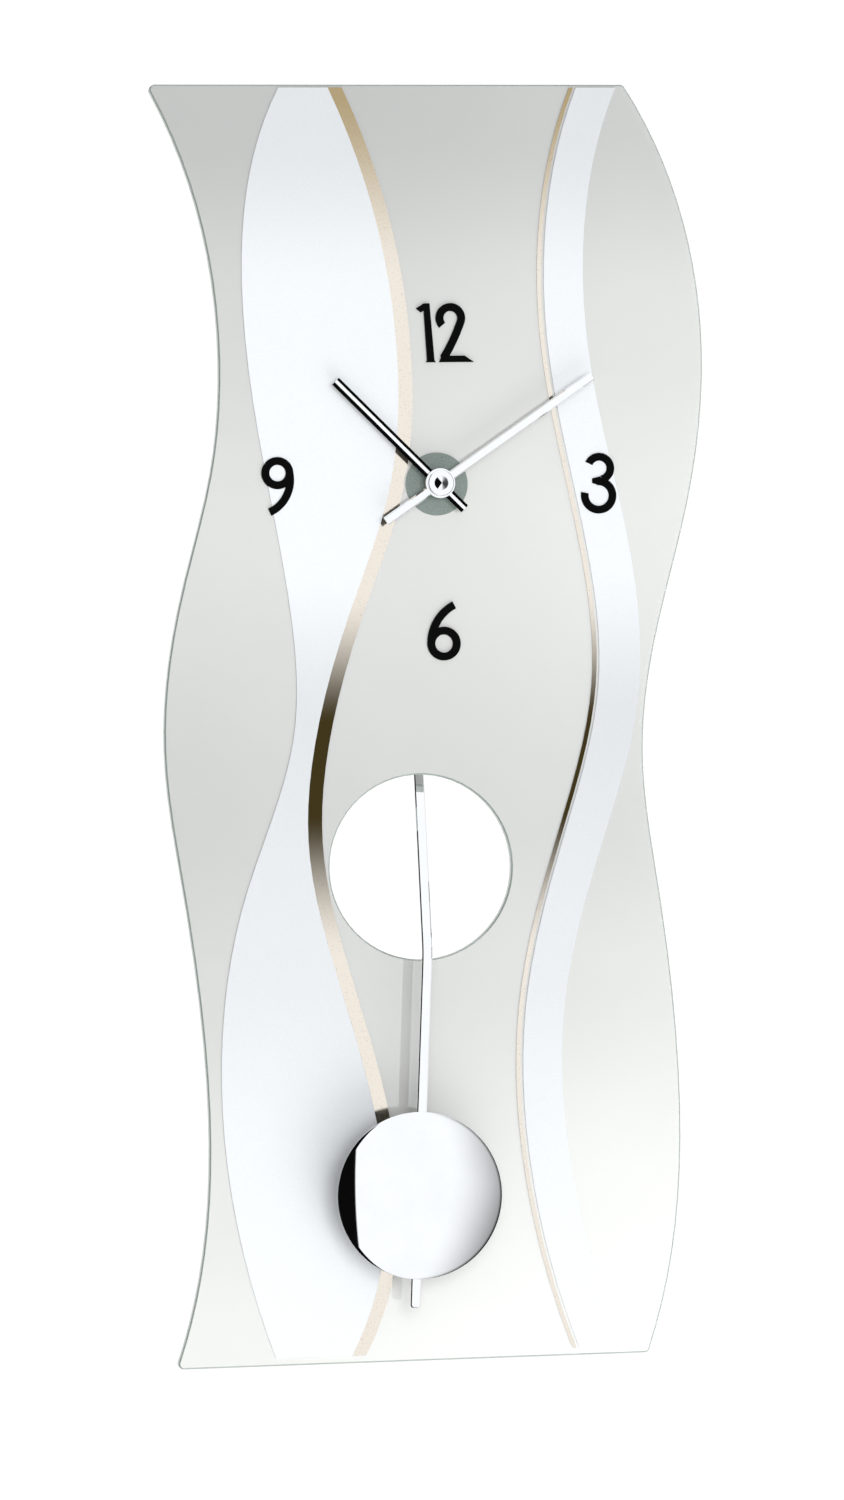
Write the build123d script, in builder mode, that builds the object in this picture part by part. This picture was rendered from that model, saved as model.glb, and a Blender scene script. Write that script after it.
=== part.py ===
from build123d import *
from math import cos, pi, radians, sin, tan
import os

os.makedirs("parts", exist_ok=True)

# Pendulum wall clock: a wave-edged glass panel hung from a steel strap behind it.
# The wall is the plane Y = 0, the viewer looks along +Y, +X is to the viewer's right.
# The origin is the middle of the hanger's keyhole entry, on the face that meets the wall.
# Depths are distances in front of the wall, so a depth of 20 is the plane Y = -20.

# Overall sizes
panel_height = 600.0
panel_width = 262.3
drawn_height = 600.0  # the wavy edges are drawn for a panel of this size, and stretch with it
drawn_width = 262.3
glass_thickness = 5.0
glass_corner = 2.5
glass_bevel = 0.7
hang_rise = 48.0  # from the hands' axis up to the keyhole entry

# Round window that the pendulum passes through, measured from the hands' axis
window_diameter = 87.0
window_offset = -11.0
window_drop = 180.0

# Metal trim on the front of the glass
trim_thickness = 0.8
gold_wide_width = 6.7
gold_thin_width = 2.0
gold_thin_gap = 1.3
trim_relief = 0.3  # round the cover disc and the window
trim_inset_top = 1.5
trim_inset_bottom = 3.6

# Numerals
numeral_stroke = 3.7
numeral_thickness = 1.3

# Movement case, measured from the hands' axis
case_left = -24.0
case_right = 32.0
case_top = 38.0
case_bottom = -46.0
case_wall = 1.6
case_corner = 3.0
case_gap = 3.6  # between the case and the wall
case_depth = 18.0
lever_layer = 2.8  # room behind the train plate for the pendulum lever
plate_thickness = 1.2
plate_clearance = 0.1
bay_wall = 14.0  # left face of the partition beside the battery
partition = 1.2
shelf_height = 9.6  # lower face of the shelf above the battery

# Centre bush, hands' arbor and hour tube
bush_diameter = 8.0
bush_reach = 10.6  # how far the bush stands out of the case
tube_diameter = 5.0
arbor_diameter = 3.0
pivot_diameter = 1.0
running_clearance = 0.05
hole_clearance = 0.5

# Stack between the case and the hands
strap_thickness = 1.2
strap_width = 20.0
strap_bend = 3.0
strap_below_axis = 12.0
strap_over_case = 2.4  # middle of the strap's bridge above the case
strap_above_keyhole = 13.0
keyhole_entry = 9.0
keyhole_slot = 4.6
keyhole_rise = 6.4
gasket_thickness = 1.0
gasket_diameter = 22.0
disc_diameter = 29.6
disc_thickness = 0.8
nut_across_flats = 11.0
nut_thickness = 2.2
spacer_diameter = 12.0
spacer_drop = 375.0
spacer_left = -72.0
spacer_right = 61.0

# Hands
hour_reach = 68.5
hour_tail = 17.0
hour_width = 4.6
hour_turn = 315.0  # clockwise from twelve
minute_reach = 89.0
minute_tail = 31.5
minute_width = 4.3
minute_turn = 56.0
hand_thickness = 1.2
hand_ridge = 1.5
hand_lift = 4.8  # from the nut's face to the back of the hour hand's boss
hand_in_boss = 0.3  # from the back of a hand's boss to the back of its bar
hour_boss_diameter = 12.6
minute_boss_diameter = 14.0
boss_thickness = 1.7
boss_gap = 0.7
cap_diameter = 12.2
cap_thickness = 2.0
cap_cone_diameter = 6.5
cap_cone_height = 1.7
cap_cone_point = 0.3
cap_round = 0.4

# Going train: tooth counts are multiples of four, so every quarter turn meets the same mesh
fine_module = 0.25
train_module = 0.3
cannon_module = 0.35
hour_module = 0.42
second_pinion_teeth = 8
third_wheel_teeth = 60
third_pinion_teeth = 8
centre_wheel_teeth = 64
second_wheel_teeth = 60
intermediate_pinion_teeth = 8
intermediate_wheel_teeth = 48
rotor_pinion_teeth = 12
cannon_teeth = 12
motion_wheel_teeth = 36
motion_pinion_teeth = 8
hour_wheel_teeth = 32
set_pinion_teeth = 12
motion_post_diameter = 1.2
wheel_thickness = 0.8
pinion_extra = 0.1  # a pinion is this much longer than its wheel at each end
tooth_tip = 0.75  # above the pitch circle, as a share of the module
tooth_root = 1.05  # below the pitch circle, as a share of the module
tooth_half_width = 0.17  # on the pitch circle, as a share of the pitch
tooth_slope = 13.0  # of each flank, in degrees

# Directions between axles, anticlockwise from +X as the viewer sees them
third_direction = 140.0
second_direction = 100.0
intermediate_direction = 75.0
rotor_direction = 190.0
motion_direction = -90.0
set_direction = -20.0

# Pendulum
pivot_rise = 25.0  # above the hands' axis
swing_each_way = 5.0  # either side of plumb
swing_at_rest = 3.1  # towards the viewer's left, where the bob is caught in mid swing
pivot_pin_diameter = 2.0
pin_socket = 0.8
lever_width = 4.0
lever_thickness = 1.4
lever_play = 0.7  # between the lever and the back of the case
lever_reach = 86.0
lever_head = 12.0
magnet_diameter = 7.0
magnet_thickness = 2.0
magnet_drop = 52.0
magnet_wall = 1.7
lever_head_below = 6.0
lever_head_above = 8.0
lever_head_corner = 2.0
lever_tip_play = 0.1
hook_above_tip = 5.0
hook_beyond_rod = 0.8
rod_width = 4.7
rod_thickness = 2.2
rod_edge = 0.5
rod_tip_radius = 1.5
rod_bend = 24.0
rod_front_clearance = 22.9  # from the front of the glass to the back of the rod
crank_run = 100.0  # height over which the rod comes forward through the window
crank_rise = 10.0  # of the middle of the crank above the middle of the window
rod_past_bob = 13.5
rod_above_hook = 6.0
eye_diameter = 8.0
eye_clearance = 0.2
hook_pin_diameter = 2.4
bob_drop = 358.0  # from the pendulum's pivot to the middle of the bob
bob_diameter = 78.0
bob_rise = 7.5
bob_sheet = 0.8
clip_height = 14.0
clip_width = 9.0
clip_play = 0.1
clip_corner = 0.8
back_plate_inset = 0.5
rim_lip = 0.4

# Battery and electrics
battery_diameter = 14.2
battery_length = 50.5
battery_nub = 1.5
battery_nub_diameter = 5.5
battery_round = 0.6
battery_clearance = 0.4
battery_foot = 1.9  # from the floor of the bay up to the battery
contact_sheet = 0.4
contact_width = 9.0
contact_inset = 1.5
contact_bend = 0.4
spring_contact_lift = 0.1
board_thickness = 1.0
board_corner = 0.8
chip_inset = (2.4, 6.0)
chip_length = 5.0
chip_height = 4.2
chip_thickness = 1.2
chip_corner = 0.3
crystal_radius = 1.05
crystal_length = 6.5
crystal_inset = (3.2, 2.4)
crystal_round = 0.3
drive_coil_diameter = 16.0
drive_coil_length = 6.8
drive_coil_bore = 4.0
drive_coil_flange = 0.8
drive_coil_groove = 1.0
rotor_magnet_diameter = 6.0
rotor_magnet_length = 3.0
rotor_gap = 0.5
stator_thickness = 0.8
stator_leg = 2.2
stator_left_gap = 1.6
stator_right = -2.0
stator_below_rotor = 4.3
stator_beside_rotor = 5.6
stator_shoulder = 3.3
stator_window_above_rotor = 5.2
core_height = 1.8
core_below_wall = 3.4
motor_coil_diameter = 5.6
motor_coil_flange = 0.8
motor_coil_groove = 0.5
motor_coil_end_gap = 0.3
screw_diameter = 2.0
screw_head = 3.8
screw_head_thickness = 1.3
screw_slot = 0.5
screw_slot_reach = 0.7  # length of the cross slot, as a share of the head
screw_into_boss = 5.0
boss_diameter = 4.6
knob_diameter = 9.0
knob_thickness = 2.2
knob_flutes = 12
knob_flute_radius = 0.55
knob_gap = 0.3
shaft_diameter = 1.5

# Depths in front of the wall, worked out from the sizes above
case_front = case_gap + case_depth
inner_front = case_front - case_wall
inner_back = case_gap + case_wall
plate_back = inner_back + lever_layer
plate_front = plate_back + plate_thickness
strap_front = case_front + strap_thickness
glass_back = strap_front + gasket_thickness
glass_front = glass_back + glass_thickness
disc_front = glass_front + disc_thickness
nut_front = disc_front + nut_thickness
bush_front = case_front + bush_reach
hour_boss_back = nut_front + hand_lift - boss_thickness
hour_boss_front = hour_boss_back + boss_thickness
minute_boss_back = hour_boss_front + boss_gap
minute_boss_front = minute_boss_back + boss_thickness
rod_front = glass_front + rod_front_clearance + rod_thickness
lever_back = inner_back + lever_play
lever_front = lever_back + lever_thickness

# Depths of the wheels, from the front wall of the case backwards
wheel_gap = 0.2
friction_spring_room = 1.8
third_wheel_room = 1.4
second_wheel_room = 1.0
intermediate_wheel_room = 0.8
hour_wheel_back = inner_front - wheel_gap - wheel_thickness - 2 * pinion_extra
motion_wheel_back = hour_wheel_back - 2 * wheel_gap - wheel_thickness
centre_wheel_back = motion_wheel_back - friction_spring_room - wheel_thickness
third_wheel_back = centre_wheel_back - third_wheel_room - wheel_thickness
second_wheel_back = third_wheel_back - second_wheel_room - wheel_thickness
intermediate_wheel_back = second_wheel_back - intermediate_wheel_room - wheel_thickness

height_scale = panel_height / drawn_height
width_scale = panel_width / drawn_width
panel_top = 188.0 * height_scale
panel_bottom = panel_top - panel_height


def dial_plane(depth, place=(0, 0)):
    """A plane parallel to the wall at this depth, centred this far from the hands' axis."""
    across, up = place
    return Plane(origin=(across, -depth, up - hang_rise), x_dir=(1, 0, 0), z_dir=(0, -1, 0))


def pendulum_plane(depth, drop=0.0):
    """A plane like dial_plane, but centred on the pendulum's line and turned with its swing."""
    swing = radians(swing_at_rest)
    pivot_height = pivot_rise - hang_rise
    centre = (-drop * sin(swing), -depth, pivot_height - drop * cos(swing))
    return Plane(origin=centre, x_dir=(cos(swing), 0, -sin(swing)), z_dir=(0, -1, 0))


def pendulum_side_plane():
    """Depth along x and height along y, through the pivot, square to the pendulum's swing."""
    swing = radians(swing_at_rest)
    return Plane(
        origin=(0, 0, pivot_rise - hang_rise),
        x_dir=(0, -1, 0),
        z_dir=(-cos(swing), 0, sin(swing)),
    )


def ring(plane, outer_diameter, inner_diameter=0.0):
    with BuildSketch(plane) as face:
        Circle(outer_diameter / 2)
        if inner_diameter:
            Circle(inner_diameter / 2, mode=Mode.SUBTRACT)
    return face.sketch


def block(plane, low, high, corner=0.0):
    """A rectangle from its low corner to its high corner, with rounded corners."""
    width = high[0] - low[0]
    height = high[1] - low[1]
    with BuildSketch(plane) as face:
        with Locations(((low[0] + high[0]) / 2, (low[1] + high[1]) / 2)):
            if corner:
                RectangleRounded(width, height, corner)
            else:
                Rectangle(width, height)
    return face.sketch


def strip(plane, path_points, bend, sheet):
    """The edge view of a bent sheet: a path with rounded corners, given its thickness."""
    with BuildSketch(plane) as face:
        with BuildLine():
            FilletPolyline(*path_points, radius=bend)
        trace(line_width=sheet)
    return face.sketch


def gear(plane, teeth, module, turn):
    """A toothed outline with straight-sided teeth, one of them centred on the angle turn."""
    pitch_radius = teeth * module / 2
    tip_radius = pitch_radius + tooth_tip * module
    root_radius = pitch_radius - tooth_root * module
    half_pitch_width = tooth_half_width * pi * module
    flank_slope = tan(radians(tooth_slope))
    half_tip = (half_pitch_width - tooth_tip * module * flank_slope) / tip_radius
    half_root = (half_pitch_width + tooth_root * module * flank_slope) / root_radius
    corners = []
    for tooth in range(teeth):
        middle = radians(turn) + 2 * pi * tooth / teeth
        for radius, angle in (
            (root_radius, middle - half_root),
            (tip_radius, middle - half_tip),
            (tip_radius, middle + half_tip),
            (root_radius, middle + half_root),
        ):
            corners.append((radius * cos(angle), radius * sin(angle)))
    with BuildSketch(plane) as face:
        with BuildLine():
            Polyline(*corners, close=True)
        make_face()
    return face.sketch


def mesh_turn(turn, teeth, direction, next_teeth):
    """The turn that puts the next gear in mesh, when it lies in this direction."""
    pitch = 360 / teeth
    next_pitch = 360 / next_teeth
    lead = ((turn - direction) / pitch) % 1
    return direction + 180 + next_pitch / 2 - lead * next_pitch


def beside(place, distance, direction):
    angle = radians(direction)
    return (place[0] + distance * cos(angle), place[1] + distance * sin(angle))


def centre_distance(teeth, next_teeth, module):
    return (teeth + next_teeth) * module / 2


def keep(piece, label):
    piece.part.label = label
    export_step(piece.part, f"parts/{label}.step")


# Where each axle stands, from the hands' axis
centre_place = (0.0, 0.0)
third_place = beside(
    centre_place,
    centre_distance(centre_wheel_teeth, third_pinion_teeth, train_module),
    third_direction,
)
second_place = beside(
    third_place,
    centre_distance(third_wheel_teeth, second_pinion_teeth, train_module),
    second_direction,
)
intermediate_place = beside(
    second_place,
    centre_distance(second_wheel_teeth, intermediate_pinion_teeth, fine_module),
    intermediate_direction,
)
rotor_place = beside(
    intermediate_place,
    centre_distance(intermediate_wheel_teeth, rotor_pinion_teeth, fine_module),
    rotor_direction,
)
motion_place = beside(
    centre_place,
    centre_distance(cannon_teeth, motion_wheel_teeth, cannon_module),
    motion_direction,
)
set_place = beside(
    motion_place,
    centre_distance(motion_wheel_teeth, set_pinion_teeth, cannon_module),
    set_direction,
)
axle_places = [third_place, second_place, intermediate_place, rotor_place]


# Glass panel and the trim on its face -----------------------------------------------------


def wave(x_top, bends, x_bottom, top, bottom):
    """Points down a wavy edge, drawn for the standard panel and stretched with it."""
    points = [(x_top * width_scale, top)]
    for across, up in bends:
        points.append((across * width_scale, up * height_scale))
    points.append((x_bottom * width_scale, bottom))
    return points


def wave_face(plane, left_points, right_points, corner=0.0):
    """A face between two wavy edges, with straight level ends."""
    with BuildSketch(plane) as face:
        with BuildLine():
            left = Spline(*left_points)
            right = Spline(*right_points)
            Line(left @ 0, right @ 0)
            Line(left @ 1, right @ 1)
        make_face()
        if corner:
            fillet(face.vertices(), corner)
    return face.sketch


def shifted(points, across):
    return [(x + across, z) for x, z in points]


glass_left_edge = wave(
    -134.5,
    [
        (-110.5, 126),
        (-102.5, 58),
        (-107, 8),
        (-122, -50),
        (-131.5, -125),
        (-124, -188),
        (-114.3, -280),
    ],
    -131.5,
    panel_top,
    panel_bottom,
)
glass_right_edge = wave(
    93.5,
    [
        (114.5, 146),
        (129.5, 60),
        (120, -14),
        (104.3, -73),
        (97, -128),
        (103.5, -192),
        (111.7, -285),
    ],
    94.0,
    panel_top,
    panel_bottom,
)
trim_top = panel_top - trim_inset_top
trim_bottom = panel_bottom + trim_inset_bottom
left_band_left_edge = wave(
    -72,
    [
        (-86, 148),
        (-91, 96),
        (-84, 21),
        (-71, -58),
        (-70.5, -118),
        (-95, -193),
        (-107.5, -268),
        (-103.5, -335),
    ],
    -84.5,
    trim_top,
    trim_bottom,
)
left_band_right_edge = wave(
    -48.5,
    [
        (-29.3, 134),
        (-18.2, 68),
        (-22.9, -3),
        (-42, -58),
        (-60, -119),
        (-64.4, -168),
        (-49.8, -238),
        (-32.8, -310),
    ],
    -48.4,
    trim_top,
    trim_bottom,
)
right_band_left_edge = wave(
    70.5,
    [
        (55.4, 128),
        (54.5, 66),
        (71, -27),
        (76, -95),
        (57.8, -167),
        (38.2, -245),
        (39.8, -328),
    ],
    60.6,
    trim_top,
    trim_bottom,
)
right_band_right_edge = wave(
    89.6,
    [
        (73.2, 120),
        (74.4, 60),
        (93, -36),
        (94.5, -106),
        (77, -168),
        (56.7, -246),
        (59.6, -331),
    ],
    81.6,
    trim_top,
    trim_bottom,
)

window_place = (window_offset * width_scale, -window_drop * height_scale)

with BuildPart() as glass_panel:
    extrude(
        wave_face(dial_plane(glass_back), glass_left_edge, glass_right_edge, glass_corner),
        amount=glass_thickness,
    )
    chamfer(glass_panel.faces().filter_by(Axis.Y).edges(), glass_bevel)
    extrude(
        ring(dial_plane(glass_back), bush_diameter + hole_clearance),
        amount=glass_thickness,
        mode=Mode.SUBTRACT,
    )
    with BuildSketch(dial_plane(glass_back, window_place)):
        Circle(window_diameter / 2)
    extrude(amount=glass_thickness, mode=Mode.SUBTRACT)
    window_rims = glass_panel.edges().filter_by(GeomType.CIRCLE).group_by(SortBy.RADIUS)[-1]
    chamfer(window_rims, glass_bevel)
keep(glass_panel, "glass_panel")

trim_edges = {
    "silver_band_left": (left_band_left_edge, left_band_right_edge),
    "gold_strip_left": (left_band_right_edge, shifted(left_band_right_edge, gold_wide_width)),
    "silver_band_right": (right_band_left_edge, right_band_right_edge),
    "gold_strip_right": (
        shifted(right_band_left_edge, -gold_thin_gap - gold_thin_width),
        shifted(right_band_left_edge, -gold_thin_gap),
    ),
}
trims = []
for trim_name, (trim_left, trim_right) in trim_edges.items():
    with BuildPart() as trim:
        extrude(
            wave_face(dial_plane(glass_front), trim_left, trim_right), amount=trim_thickness
        )
        for place, diameter in ((centre_place, disc_diameter), (window_place, window_diameter)):
            extrude(
                ring(dial_plane(glass_front, place), diameter + 2 * (glass_bevel + trim_relief)),
                amount=trim_thickness,
                mode=Mode.SUBTRACT,
            )
    keep(trim, trim_name)
    trims.append(trim.part)


# Numerals: strokes of one width, stepped at the back where they lie over the trim -----------

twelve_place = (5.2, 71.2)
three_place = (77.7, -0.6)
six_place = (2.0, -69.4)
nine_place = (-75.8, 0.1)


def stroke(plane, start_angle, sweep, centre, radius):
    """A round stroke of a numeral, on a circle."""
    with BuildSketch(plane) as face:
        with BuildLine():
            CenterArc(centre, radius, start_angle, sweep)
        trace(line_width=numeral_stroke)
    return face.sketch


def bowl(plane, centre, radius):
    """A closed round bowl of a numeral."""
    with BuildSketch(plane) as face:
        with Locations(centre):
            Circle(radius + numeral_stroke / 2)
            Circle(radius - numeral_stroke / 2, mode=Mode.SUBTRACT)
    return face.sketch


def curve_stroke(plane, points):
    """A round stroke of a numeral, on an arc through three points."""
    with BuildSketch(plane) as face:
        with BuildLine():
            ThreePointArc(*points)
        trace(line_width=numeral_stroke)
    return face.sketch


def flat(plane, points):
    """A straight-sided piece of a numeral."""
    with BuildSketch(plane) as face:
        with BuildLine():
            Polyline(*points, close=True)
        make_face()
    return face.sketch


one_outline = [
    (-13.6, 11.4),
    (-9.8, 13.8),
    (-7.1, 13.8),
    (-5.2, -13.2),
    (-4.5, -13.9),
    (-9.3, -13.9),
    (-8.7, -13.2),
    (-9.9, 10.4),
    (-11.2, 9.5),
]
two_foot = [
    (-2.9, -13.9),
    (13.6, -13.9),
    (9.2, -10.9),
    (1.4, -10.9),
    (1.0, -9.6),
    (-2.0, -11.6),
]
three_bar = [(-3.0, 2.4), (-3.0, 0.2), (0.6, -0.9), (1.2, 3.4)]

twelve_plane = dial_plane(glass_front, twelve_place)
three_plane = dial_plane(glass_front, three_place)
six_plane = dial_plane(glass_front, six_place)
nine_plane = dial_plane(glass_front, nine_place)

numeral_strokes = {
    "numeral_12": [
        flat(twelve_plane, one_outline),
        stroke(twelve_plane, -22, 242, (2.8, 6.8), 5.2),
        curve_stroke(twelve_plane, [(7.62, 4.85), (4.4, -2.7), (-0.8, -12.05)]),
        flat(twelve_plane, two_foot),
    ],
    "numeral_3": [
        stroke(three_plane, -78, 233, (0.5, 7.2), 5.4),
        stroke(three_plane, -192, 290, (0.0, -5.7), 6.7),
        flat(three_plane, three_bar),
    ],
    "numeral_6": [
        bowl(six_plane, (0.0, -5.7), 6.1),
        curve_stroke(six_plane, [(-6.1, -5.7), (-3.2, 4.6), (5.2, 12.4)]),
    ],
    "numeral_9": [
        bowl(nine_plane, (-0.1, 5.8), 5.7),
        curve_stroke(nine_plane, [(5.6, 5.8), (3.6, -5.6), (-4.0, -12.4)]),
    ],
}
for numeral_name, faces in numeral_strokes.items():
    with BuildPart() as numeral:
        for face in faces:
            extrude(face, amount=numeral_thickness)
        add(trims, mode=Mode.SUBTRACT)
    keep(numeral, numeral_name)


# Fixing between the movement and the glass --------------------------------------------------

strap_mid_front = case_front + strap_thickness / 2
strap_mid_back = strap_thickness / 2
bridge_height = case_top + strap_over_case

with BuildPart() as hanger_strap:
    side = Plane(origin=(0, 0, -hang_rise), x_dir=(0, -1, 0), z_dir=(-1, 0, 0))
    strap_path = [
        (strap_mid_front, -strap_below_axis),
        (strap_mid_front, bridge_height),
        (strap_mid_back, bridge_height),
        (strap_mid_back, hang_rise + strap_above_keyhole),
    ]
    extrude(
        strip(side, strap_path, strap_bend, strap_thickness), amount=strap_width / 2, both=True
    )
    strap_top_corners = (
        hanger_strap.edges().filter_by(Axis.Y).group_by(Axis.Z)[-1].sort_by(Axis.X)
    )
    fillet(strap_top_corners, strap_width / 4)
    extrude(
        ring(dial_plane(case_front), bush_diameter + hole_clearance),
        amount=strap_thickness,
        mode=Mode.SUBTRACT,
    )
    with BuildSketch(dial_plane(0, (0, hang_rise))):
        Circle(keyhole_entry / 2)
        with Locations((0, keyhole_rise / 2)):
            Rectangle(keyhole_slot, keyhole_rise)
        with Locations((0, keyhole_rise)):
            Circle(keyhole_slot / 2)
    extrude(amount=strap_thickness, mode=Mode.SUBTRACT)
keep(hanger_strap, "hanger_strap")

with BuildPart() as glass_gasket:
    extrude(
        ring(dial_plane(strap_front), gasket_diameter, bush_diameter + hole_clearance),
        amount=gasket_thickness,
    )
keep(glass_gasket, "glass_gasket")

with BuildPart() as cover_disc:
    extrude(
        ring(dial_plane(glass_front), disc_diameter, bush_diameter + running_clearance * 2),
        amount=disc_thickness,
    )
keep(cover_disc, "cover_disc")

with BuildPart() as centre_nut:
    with BuildSketch(dial_plane(disc_front)):
        RegularPolygon(nut_across_flats / 2, 6, major_radius=False)
        Circle(bush_diameter / 2 + running_clearance, mode=Mode.SUBTRACT)
    extrude(amount=nut_thickness)
keep(centre_nut, "centre_nut")

for spacer_name, spacer_across in {
    "wall_spacer_left": spacer_left,
    "wall_spacer_right": spacer_right,
}.items():
    spacer_place = (spacer_across * width_scale, -spacer_drop * height_scale)
    with BuildPart() as spacer:
        extrude(ring(dial_plane(0, spacer_place), spacer_diameter), amount=glass_back)
        fillet(spacer.faces().sort_by(Axis.Y)[-1].edges(), spacer_diameter / 8)
    keep(spacer, spacer_name)


# Movement case --------------------------------------------------------------------------------

inner_left = case_left + case_wall
inner_right = case_right - case_wall
inner_top = case_top - case_wall
inner_bottom = case_bottom + case_wall
bay_left = bay_wall + partition
shelf_top = shelf_height + partition
screw_inset = 2.9
plate_screws = [
    (inner_left + screw_inset, inner_bottom + screw_inset),
    (bay_wall - screw_inset, inner_bottom + screw_inset),
    (bay_wall - screw_inset - 1.3, inner_top - screw_inset),
]
corner_screw = (inner_right - screw_inset, inner_top - screw_inset)
pivot_bore = pivot_diameter + 2 * running_clearance
pivot_depth = case_wall / 2
stator_posts = [(inner_left + 2.7, rotor_place[1] - 2.9), (-3.1, rotor_place[1] + 4.3)]
post_diameter = 2.2
stator_back = inner_front - 6.0
board_back = inner_front - 1.6
board_low = (bay_left + 1.0, shelf_top + 2.6)
board_high = (inner_right - 1.0, inner_top - 7.0)
board_posts = [
    (board_low[0] + 1.6, board_low[1] + 1.6),
    (board_high[0] - 1.6, board_high[1] - 1.6),
]

with BuildPart() as front_case:
    extrude(
        block(dial_plane(plate_back), (case_left, case_bottom), (case_right, case_top), case_corner),
        amount=case_front - plate_back,
    )
    fillet(front_case.faces().sort_by(Axis.Y)[0].edges(), case_wall / 2)
    extrude(
        block(
            dial_plane(plate_back),
            (inner_left, inner_bottom),
            (inner_right, inner_top),
            case_corner - case_wall,
        ),
        amount=inner_front - plate_back,
        mode=Mode.SUBTRACT,
    )
    # Partition and shelf round the battery
    extrude(
        block(dial_plane(plate_back), (bay_wall, inner_bottom), (bay_left, inner_top)),
        amount=inner_front - plate_back,
    )
    extrude(
        block(dial_plane(plate_back), (bay_left, shelf_height), (inner_right, shelf_top)),
        amount=inner_front - plate_back,
    )
    # Screw bosses, then the posts of the stator and the circuit board
    for screw_place in plate_screws:
        extrude(
            ring(dial_plane(plate_front, screw_place), boss_diameter),
            amount=inner_front - plate_front,
        )
    extrude(
        ring(dial_plane(plate_back, corner_screw), boss_diameter),
        amount=inner_front - plate_back,
    )
    for post_place in stator_posts:
        extrude(
            ring(dial_plane(stator_back + stator_thickness, post_place), post_diameter),
            amount=inner_front - stator_back - stator_thickness,
        )
    for post_place in board_posts:
        extrude(
            ring(dial_plane(board_back + board_thickness, post_place), post_diameter),
            amount=inner_front - board_back - board_thickness,
        )
    for screw_place in [*plate_screws, corner_screw]:
        extrude(
            ring(dial_plane(plate_back, screw_place), screw_diameter),
            amount=case_depth / 2,
            mode=Mode.SUBTRACT,
        )
    # Fixed post that the motion wheel turns on
    extrude(
        ring(dial_plane(motion_wheel_back - pinion_extra, motion_place), motion_post_diameter),
        amount=inner_front - motion_wheel_back + pinion_extra,
    )
    # Centre bush, its bore for the hour tube, and the front pivot holes
    extrude(ring(dial_plane(inner_front), bush_diameter), amount=bush_front - inner_front)
    extrude(
        ring(dial_plane(inner_front), tube_diameter + 2 * running_clearance),
        amount=bush_front - inner_front,
        mode=Mode.SUBTRACT,
    )
    for axle_place in [*axle_places, set_place]:
        extrude(
            ring(dial_plane(inner_front, axle_place), pivot_bore),
            amount=pivot_depth,
            mode=Mode.SUBTRACT,
        )
keep(front_case, "movement_front_case")

lever_slot = 2 * ((pivot_rise - case_bottom) * tan(radians(swing_each_way)) + lever_width)

with BuildPart() as back_case:
    extrude(
        block(dial_plane(case_gap), (case_left, case_bottom), (case_right, case_top), case_corner),
        amount=plate_back - case_gap,
    )
    fillet(back_case.faces().sort_by(Axis.Y)[-1].edges(), case_wall / 2)
    extrude(
        block(
            dial_plane(inner_back),
            (inner_left, inner_bottom),
            (inner_right, inner_top),
            case_corner - case_wall,
        ),
        amount=plate_back - inner_back,
        mode=Mode.SUBTRACT,
    )
    # Open battery bay, and the slot that the pendulum lever leaves through
    extrude(
        block(dial_plane(case_gap), (bay_left, inner_bottom), (inner_right, shelf_height), 1.0),
        amount=plate_back - case_gap,
        mode=Mode.SUBTRACT,
    )
    extrude(
        block(dial_plane(inner_back), (-lever_slot / 2, case_bottom), (lever_slot / 2, inner_bottom)),
        amount=plate_back - inner_back,
        mode=Mode.SUBTRACT,
    )
    # Bosses with countersunk screw holes, the socket of the pivot pin and the knob's hole
    for screw_place in [*plate_screws, corner_screw]:
        extrude(
            ring(dial_plane(inner_back, screw_place), boss_diameter),
            amount=plate_back - inner_back,
        )
    for screw_place in [*plate_screws, corner_screw]:
        extrude(
            ring(dial_plane(case_gap, screw_place), screw_diameter + 2 * running_clearance),
            amount=plate_back - case_gap,
            mode=Mode.SUBTRACT,
        )
        extrude(
            ring(dial_plane(case_gap, screw_place), screw_head + hole_clearance),
            amount=screw_head_thickness,
            mode=Mode.SUBTRACT,
        )
    extrude(
        ring(dial_plane(inner_back - pin_socket, (0, pivot_rise)), pivot_pin_diameter),
        amount=pin_socket,
        mode=Mode.SUBTRACT,
    )
    extrude(
        ring(dial_plane(case_gap, set_place), shaft_diameter + 4 * running_clearance),
        amount=case_wall,
        mode=Mode.SUBTRACT,
    )
keep(back_case, "movement_back_case")

with BuildPart() as train_plate:
    extrude(
        block(
            dial_plane(plate_back),
            (inner_left + plate_clearance, inner_bottom + plate_clearance),
            (bay_wall - plate_clearance, inner_top - plate_clearance),
            case_corner - case_wall,
        ),
        amount=plate_thickness,
    )
    for screw_place in plate_screws:
        extrude(
            ring(dial_plane(plate_back, screw_place), screw_diameter + 2 * running_clearance),
            amount=plate_thickness,
            mode=Mode.SUBTRACT,
        )
    for axle_place in [*axle_places, centre_place]:
        extrude(
            ring(dial_plane(plate_back, axle_place), pivot_bore),
            amount=plate_thickness,
            mode=Mode.SUBTRACT,
        )
    extrude(
        ring(dial_plane(plate_back, set_place), shaft_diameter + 2 * running_clearance),
        amount=plate_thickness,
        mode=Mode.SUBTRACT,
    )
    extrude(
        ring(dial_plane(plate_back, (0, pivot_rise)), pivot_pin_diameter),
        amount=plate_thickness,
        mode=Mode.SUBTRACT,
    )
keep(train_plate, "train_plate")

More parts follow.
